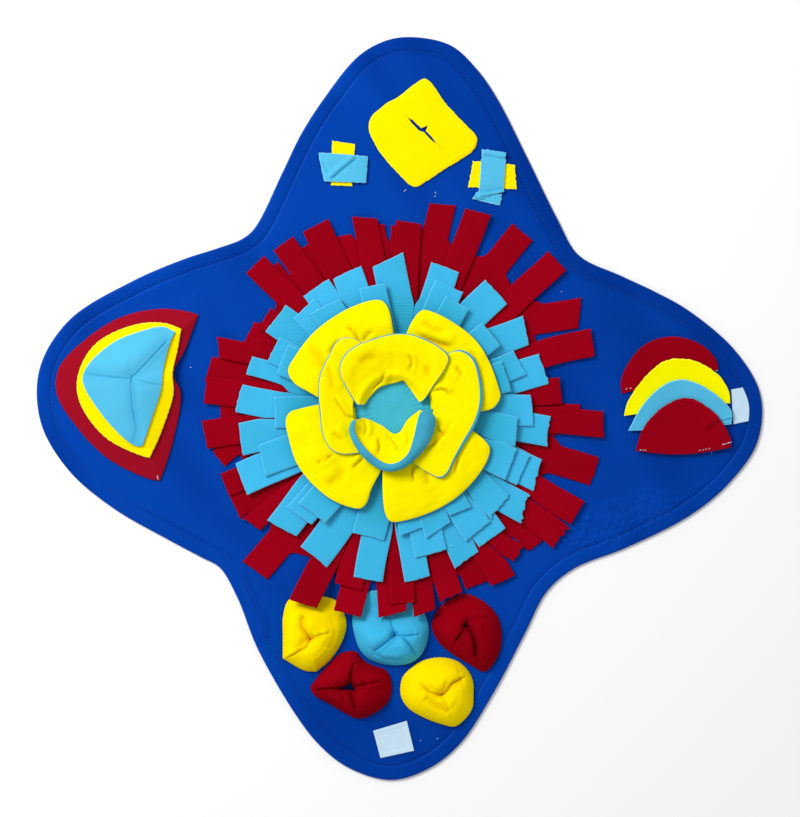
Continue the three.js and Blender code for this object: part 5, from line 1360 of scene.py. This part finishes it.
# Pouch: rise, mouth place, mouth width and depth, creases, rim places, cloth, thread, slot.
PODS = {
    "pod_w_yellow": (16, (-84, -219), (0.8, 4.0), [
        ([(-90, -196), (-92.5, -201), (-92.5, -206.5), (-87, -212.5), (-84, -219)], 1.3, 2.2, 1.2),
        ([(-84, -219), (-88, -226), (-99, -231.5), (-110, -238)], 1.3, 2.0, -1.2),
        ([(-84, -218), (-75.5, -214), (-66, -212)], 1.6, 1.2, 0.8),
        ([(-90, -194), (-92, -206), (-86, -217), (-98, -231)], 5.0, 2.4, 1.0),
        ([(-84, -218), (-72, -213)], 5.0, 1.4, 0.0),
        ([(-66, -196), (-62, -212), (-67, -228)], 7.0, 1.2, 1.0)], [
        (-104, -181), (-110, -196), (-110.5, -216), (-110.5, -237, 1), (-90, -248.5), (-79, -249.5, 1),
        (-65, -237.5), (-52.5, -215.5), (-51, -200), (-61, -182), (-80, -178)],
        pouch_yellow, yellow_thread, "yellow_fleece"),
    "pod_n_blue": (16, (-4, -215), (0.8, 3.5), [
        ([(-4, -215), (-7, -207), (-8.5, -200), (-16, -196)], 1.1, 2.2, 1.0),
        ([(-4, -215), (7, -215), (19, -213.5)], 1.1, 1.6, 0.9),
        ([(-4, -215), (-13, -222), (-24, -230)], 1.2, 2.0, 1.0),
        ([(2, -215.5), (9, -223), (16.5, -235)], 1.2, 1.8, -0.9),
        ([(-26, -231), (-14, -236.5), (3, -237)], 1.6, 1.4, 0.8),
        ([(-4, -214), (-12, -221), (-25, -231)], 4.5, 2.0, -1.2),
        ([(4, -216), (16, -234)], 4.0, 1.5, -0.8),
        ([(-10, -198), (-4, -214), (16, -213)], 4.5, 1.6, 0.8)], [
        (-26, -173), (-40, -184), (-44.5, -199), (-43, -212.5), (-38, -227.5), (-31, -236),
        (-21, -241), (-4, -243.5), (11, -241), (20.5, -233.5), (26.5, -220), (27.5, -207.5),
        (24, -195.5), (16, -183), (-5, -178)],
        blue_fleece, sky_thread, "light_blue_fleece"),
    "pod_e_red": (16, (63, -206), (1.0, 5.0), [
        ([(65, -199), (63, -206), (59, -212), (53, -222)], 1.4, 2.6, 1.2),
        ([(63, -204), (68, -212), (71, -222), (71, -232), (76, -241)], 1.5, 2.6, -1.3),
        ([(63, -203), (74, -197), (86, -198)], 2.2, 1.0, 0.8),
        ([(66, -196), (61, -209), (54, -221)], 5.5, 2.4, 1.2),
        ([(65, -204), (71, -220), (73, -236)], 5.5, 2.4, -1.2)], [
        (62, -176), (77, -181.5), (91, -194.5), (96, -208), (95.5, -228), (89, -242), (81, -249.5),
        (66, -242), (51, -233), (37, -221), (31, -206), (36.5, -191), (48, -181)],
        pouch_red, red_thread, "red_fleece"),
    "pod_sw_red": (15, (-49, -265), (5.2, 4.5), [
        ([(-55, -265), (-66, -265.5), (-82, -267)], 1.6, 2.2, 1.2),
        ([(-47, -260), (-46, -250), (-43, -240)], 1.5, 1.8, 1.0),
        ([(-44, -264), (-33, -261), (-16, -258)], 1.6, 1.8, -1.0),
        ([(-46, -268), (-43, -280), (-40, -290)], 1.5, 1.8, 1.0),
        ([(-53, -265), (-66, -265.5), (-80, -267)], 5.5, 2.4, 1.4),
        ([(-47, -260), (-45, -246)], 5.0, 1.8, 0.9),
        ([(-44, -265), (-30, -260)], 5.0, 1.8, -0.9),
        ([(-46, -268), (-42, -284)], 5.0, 2.0, 1.0)], [
        (-84, -265), (-80, -258.5), (-67, -243.5), (-55, -232.5), (-42, -231), (-34, -239.5),
        (-23, -245), (-14, -248), (-9.5, -254), (-7.5, -267), (-11.5, -279), (-24, -289),
        (-38.5, -294), (-51, -289), (-68, -279), (-80.5, -272)],
        pouch_red, red_thread, "red_fleece"),
    "pod_se_yellow": (15, (40, -271), (0.8, 4.0), [
        ([(40, -271), (32, -269.5), (25, -266), (20, -258)], 1.3, 1.8, -1.0),
        ([(40, -271), (45, -267), (50, -259), (63, -253.5)], 1.3, 2.2, 1.2),
        ([(40, -271), (45, -280), (50, -291)], 2.4, 1.0, -0.7),
        ([(40, -271), (30, -268), (22, -262)], 5.0, 1.6, -1.0),
        ([(40, -271), (48, -261), (60, -255)], 5.0, 2.2, 1.2),
        ([(24, -272), (34, -279), (48, -287)], 5.0, 1.6, 1.0)], [
        (1, -264.5), (3.5, -254.5), (12.5, -245.5), (22.5, -239.5), (38, -236.5), (52.5, -239),
        (62.5, -246), (69, -257), (70, -272), (69, -284), (62.5, -294), (52.5, -301.5), (40.5, -299.5),
        (23, -293), (8.5, -284), (2, -274)],
        pouch_yellow, yellow_thread, "yellow_fleece"),
}
WIDE_MOUTHS = {  # a mouth that gapes: places round it
    "pod_sw_red": [(-56.5, -265), (-52, -263), (-46.5, -259.5), (-44, -263), (-42.5, -267),
                   (-48, -267.3)],
}
POD_COLUMNS, POD_ROWS = 180, 38
POD_HALF = 0.9  # half the thickness
POD_SEAT = ON_BASE + 1.1
OVERLOCK_PITCH = 3.3
OVERLOCK_LOOP = (  # inwards, along the rim and up, from the cloth over its edge to the base
    (2.6, 1.0, 1.6), (1.2, 0.5, 1.25), (0.0, 0, 0.7), (-0.55, -0.3, -0.2))
print("pouches:", len(PODS))

# %% Pouch shapes


def pod_shape(name, rise, mouth, width, depth, creases, rim):
    """Middle surface of a pouch, its insets, its rim, and how folded it is."""
    edge = round_outline(rim, POD_COLUMNS)
    mouth = np.array(mouth, float)
    turn = np.arctan2(edge[:, 1] - mouth[1], edge[:, 0] - mouth[0])
    opening = np.full(POD_COLUMNS, width)
    if name in WIDE_MOUTHS:
        opening = reach_of(round_outline(WIDE_MOUTHS[name], 80), mouth, turn)
    share = spread(POD_ROWS)[None, :]
    lip = mouth + opening[:, None] * np.stack([np.cos(turn), np.sin(turn)], axis=1)
    place = edge[:, None] + (lip - edge)[:, None] * share[..., None]
    x, y = place[..., 0], place[..., 1]
    tuck = smooth_step(186, 220, np.hypot(x, y))
    z = POD_SEAT + rise * np.interp(share, *POD_SECTION) * tuck
    pressed, folded = creases_on(x, y, creases, fade=0.08)
    z = z + pressed * smooth_step(0.04, 0.3, share) * tuck
    z = z - depth * smooth_step(0.86, 1.0, share)
    z = z + 0.3 * ripple(x, y, 22, 90) * tuck * smooth_step(0, 0.3, share)
    inset = share * np.linalg.norm(edge - mouth, axis=1)[:, None]
    # Half the folded share becomes the fold mark, painted shade in the pouch's creases.
    return as_rows(x, y, np.maximum(z, SHEET_MIDDLE)), inset, edge, 0.5 * folded


def overlock_loops(edge, mouth):
    """Stitches that wrap the rim, each a path of four places."""
    loops = int(np.linalg.norm(np.diff(edge, axis=0), axis=1).sum() / OVERLOCK_PITCH)
    row = np.linspace(0, POD_COLUMNS, loops, endpoint=False).astype(int)
    inward = np.array(mouth) - edge[row]
    inward /= np.linalg.norm(inward, axis=1, keepdims=True)
    lean = np.stack([-inward[:, 1], inward[:, 0]], axis=1) * 0.5
    seat = np.full((loops, 1), POD_SEAT)
    return np.stack([np.concatenate([edge[row] + inward * step + lean * sway, seat + up], axis=1)
                     for step, sway, up in OVERLOCK_LOOP], axis=1)


# %% Sew the pouches
POD_ALLOWANCE = 1.14  # side of the square that a round cut is taken from, over the root of its area
pod_faces = [grid_faces(POD_COLUMNS, POD_ROWS, closed=True)[:, ::-1]]
for name, (rise, mouth, (width, depth), creases, rim, cloth, thread, slot) in PODS.items():
    middle, inset, edge, folded = pod_shape(name, rise, mouth, width, depth, creases, rim)
    mark = np.maximum(inset, 1.2)
    pod = sew_sheet(name + "_cloth", middle, pod_faces, POD_HALF * round_edge(inset.ravel(), 1.0),
                    {"inset": (mark, mark), "fold": (folded, 0)}, cloth)
    place_on_frame(pod, name)
    # The cut is worked out from the cloth as built, so its size is no check on the shape.
    area = round(sheet_area(middle, pod_faces), 4)
    across = round(math.sqrt(area) * POD_ALLOWANCE, 3)
    overlock = thread_mesh(name + "_overlock", overlock_loops(edge, mouth), 0.42, thread)
    place_on_frame(overlock, None)

# %% [markdown]
# ## Loose stitches
# A few pale stitches show where threads start and end: at the leaf's corners, along the moons' sewn
# edges and here and there on the base. Each is one short thread that lies on its cloth.

# %% Loose stitches
STITCHES = {  # height of the cloth: start x and y, end x and y
    5.6: [(-192.5, 86.5, -196, 84), (-200.5, 80.5, -202, 79.5), (-195.3, 84.4, -198, 82.6),
          (214.5, 18.4, 216.6, 18.9), (218.6, 19, 220.2, 19.4), (300, 35.6, 302, 36.2)],
    5.5: [(-230.2, -62.5, -228.7, -68)],
    9.2: [(227.6, -39, 229.6, -39.4), (230.6, -39.4, 232.2, -39.5), (233, -39.5, 234.2, -39.4),
          (283.8, -39.8, 285.2, -39.6), (287.2, -39.4, 288.6, -39), (290, -38.8, 291.2, -38.4),
          (293, -38.2, 294.4, -37.6), (305.6, -34.4, 310, -33.2), (310.4, -33, 315, -31.8)],
    3.7: [(-199, 39.2, -197.4, 38.8), (295.6, -42.2, 297, -41.8), (34, 206, 34.4, 203.6),
          (33.6, 202.2, 34.2, 200.8), (4, 206, 6.6, 207.8), (60.5, 160.5, 61.2, 161.8),
          (19.5, -315.4, 20.6, -315.2), (35.6, -313.4, 36.8, -313.2), (153.4, 111, 154.4, 110.6)],
    12.2: [(48, -130, 49.4, -129.4)],
}
STITCH_ARCH = ((0, 0), (0.3, 0.35), (0.7, 0.35), (1, 0))  # share of the way, rise
paths = [[(ax + (bx - ax) * share, ay + (by - ay) * share, height + rise) for share, rise in STITCH_ARCH]
         for height, stitches in STITCHES.items() for ax, ay, bx, by in stitches]
place_on_frame(thread_mesh("loose_stitches", paths, 0.3, pale_thread), None)

# %% [markdown]
# ## Studio
# The mat lies on a white floor under one large soft lamp from the upper left, with an even white
# sky that fills the shadows. The colours are strong, so the Standard view keeps them as they are.

# %% Studio
FLOOR_HALF = 6.0  # metres
LAMP_WATTS, LAMP_PLACE = 45.0, (-1.25, 1.1, 1.75)
floor_corners = [(side * FLOOR_HALF, end * FLOOR_HALF, 0)
                 for side, end in ((-1, -1), (1, -1), (1, 1), (-1, 1))]
floor_mesh = bpy.data.meshes.new("floor")
floor_mesh.from_pydata(floor_corners, [], [(0, 1, 2, 3)])
floor = bpy.data.objects.new("floor", floor_mesh)
floor.location.z = -0.4 * MM
bpy.context.scene.collection.objects.link(floor)
paper, paper_shader = new_material("white_paper", Roughness=0.9)
paper_shader.inputs["Base Color"].default_value = linear("#FFFFFF")
floor_mesh.materials.append(paper)

lamp_data = bpy.data.lights.new("soft_lamp", "AREA")
lamp_data.shape = "DISK"
lamp_data.size = 1.1
lamp_data.energy = LAMP_WATTS
lamp = bpy.data.objects.new("soft_lamp", lamp_data)
lamp.location = LAMP_PLACE
lamp.rotation_euler = (-Vector(LAMP_PLACE)).to_track_quat("-Z", "Y").to_euler()
bpy.context.scene.collection.objects.link(lamp)

sky = bpy.data.worlds.new("white_sky")
sky.use_nodes = True
sky.node_tree.nodes["Background"].inputs["Color"].default_value = (1, 1, 1, 1)
sky.node_tree.nodes["Background"].inputs["Strength"].default_value = 0.53
bpy.context.scene.world = sky
bpy.context.scene.view_settings.view_transform = "Standard"
print("lamp:", lamp_data.energy, "W")
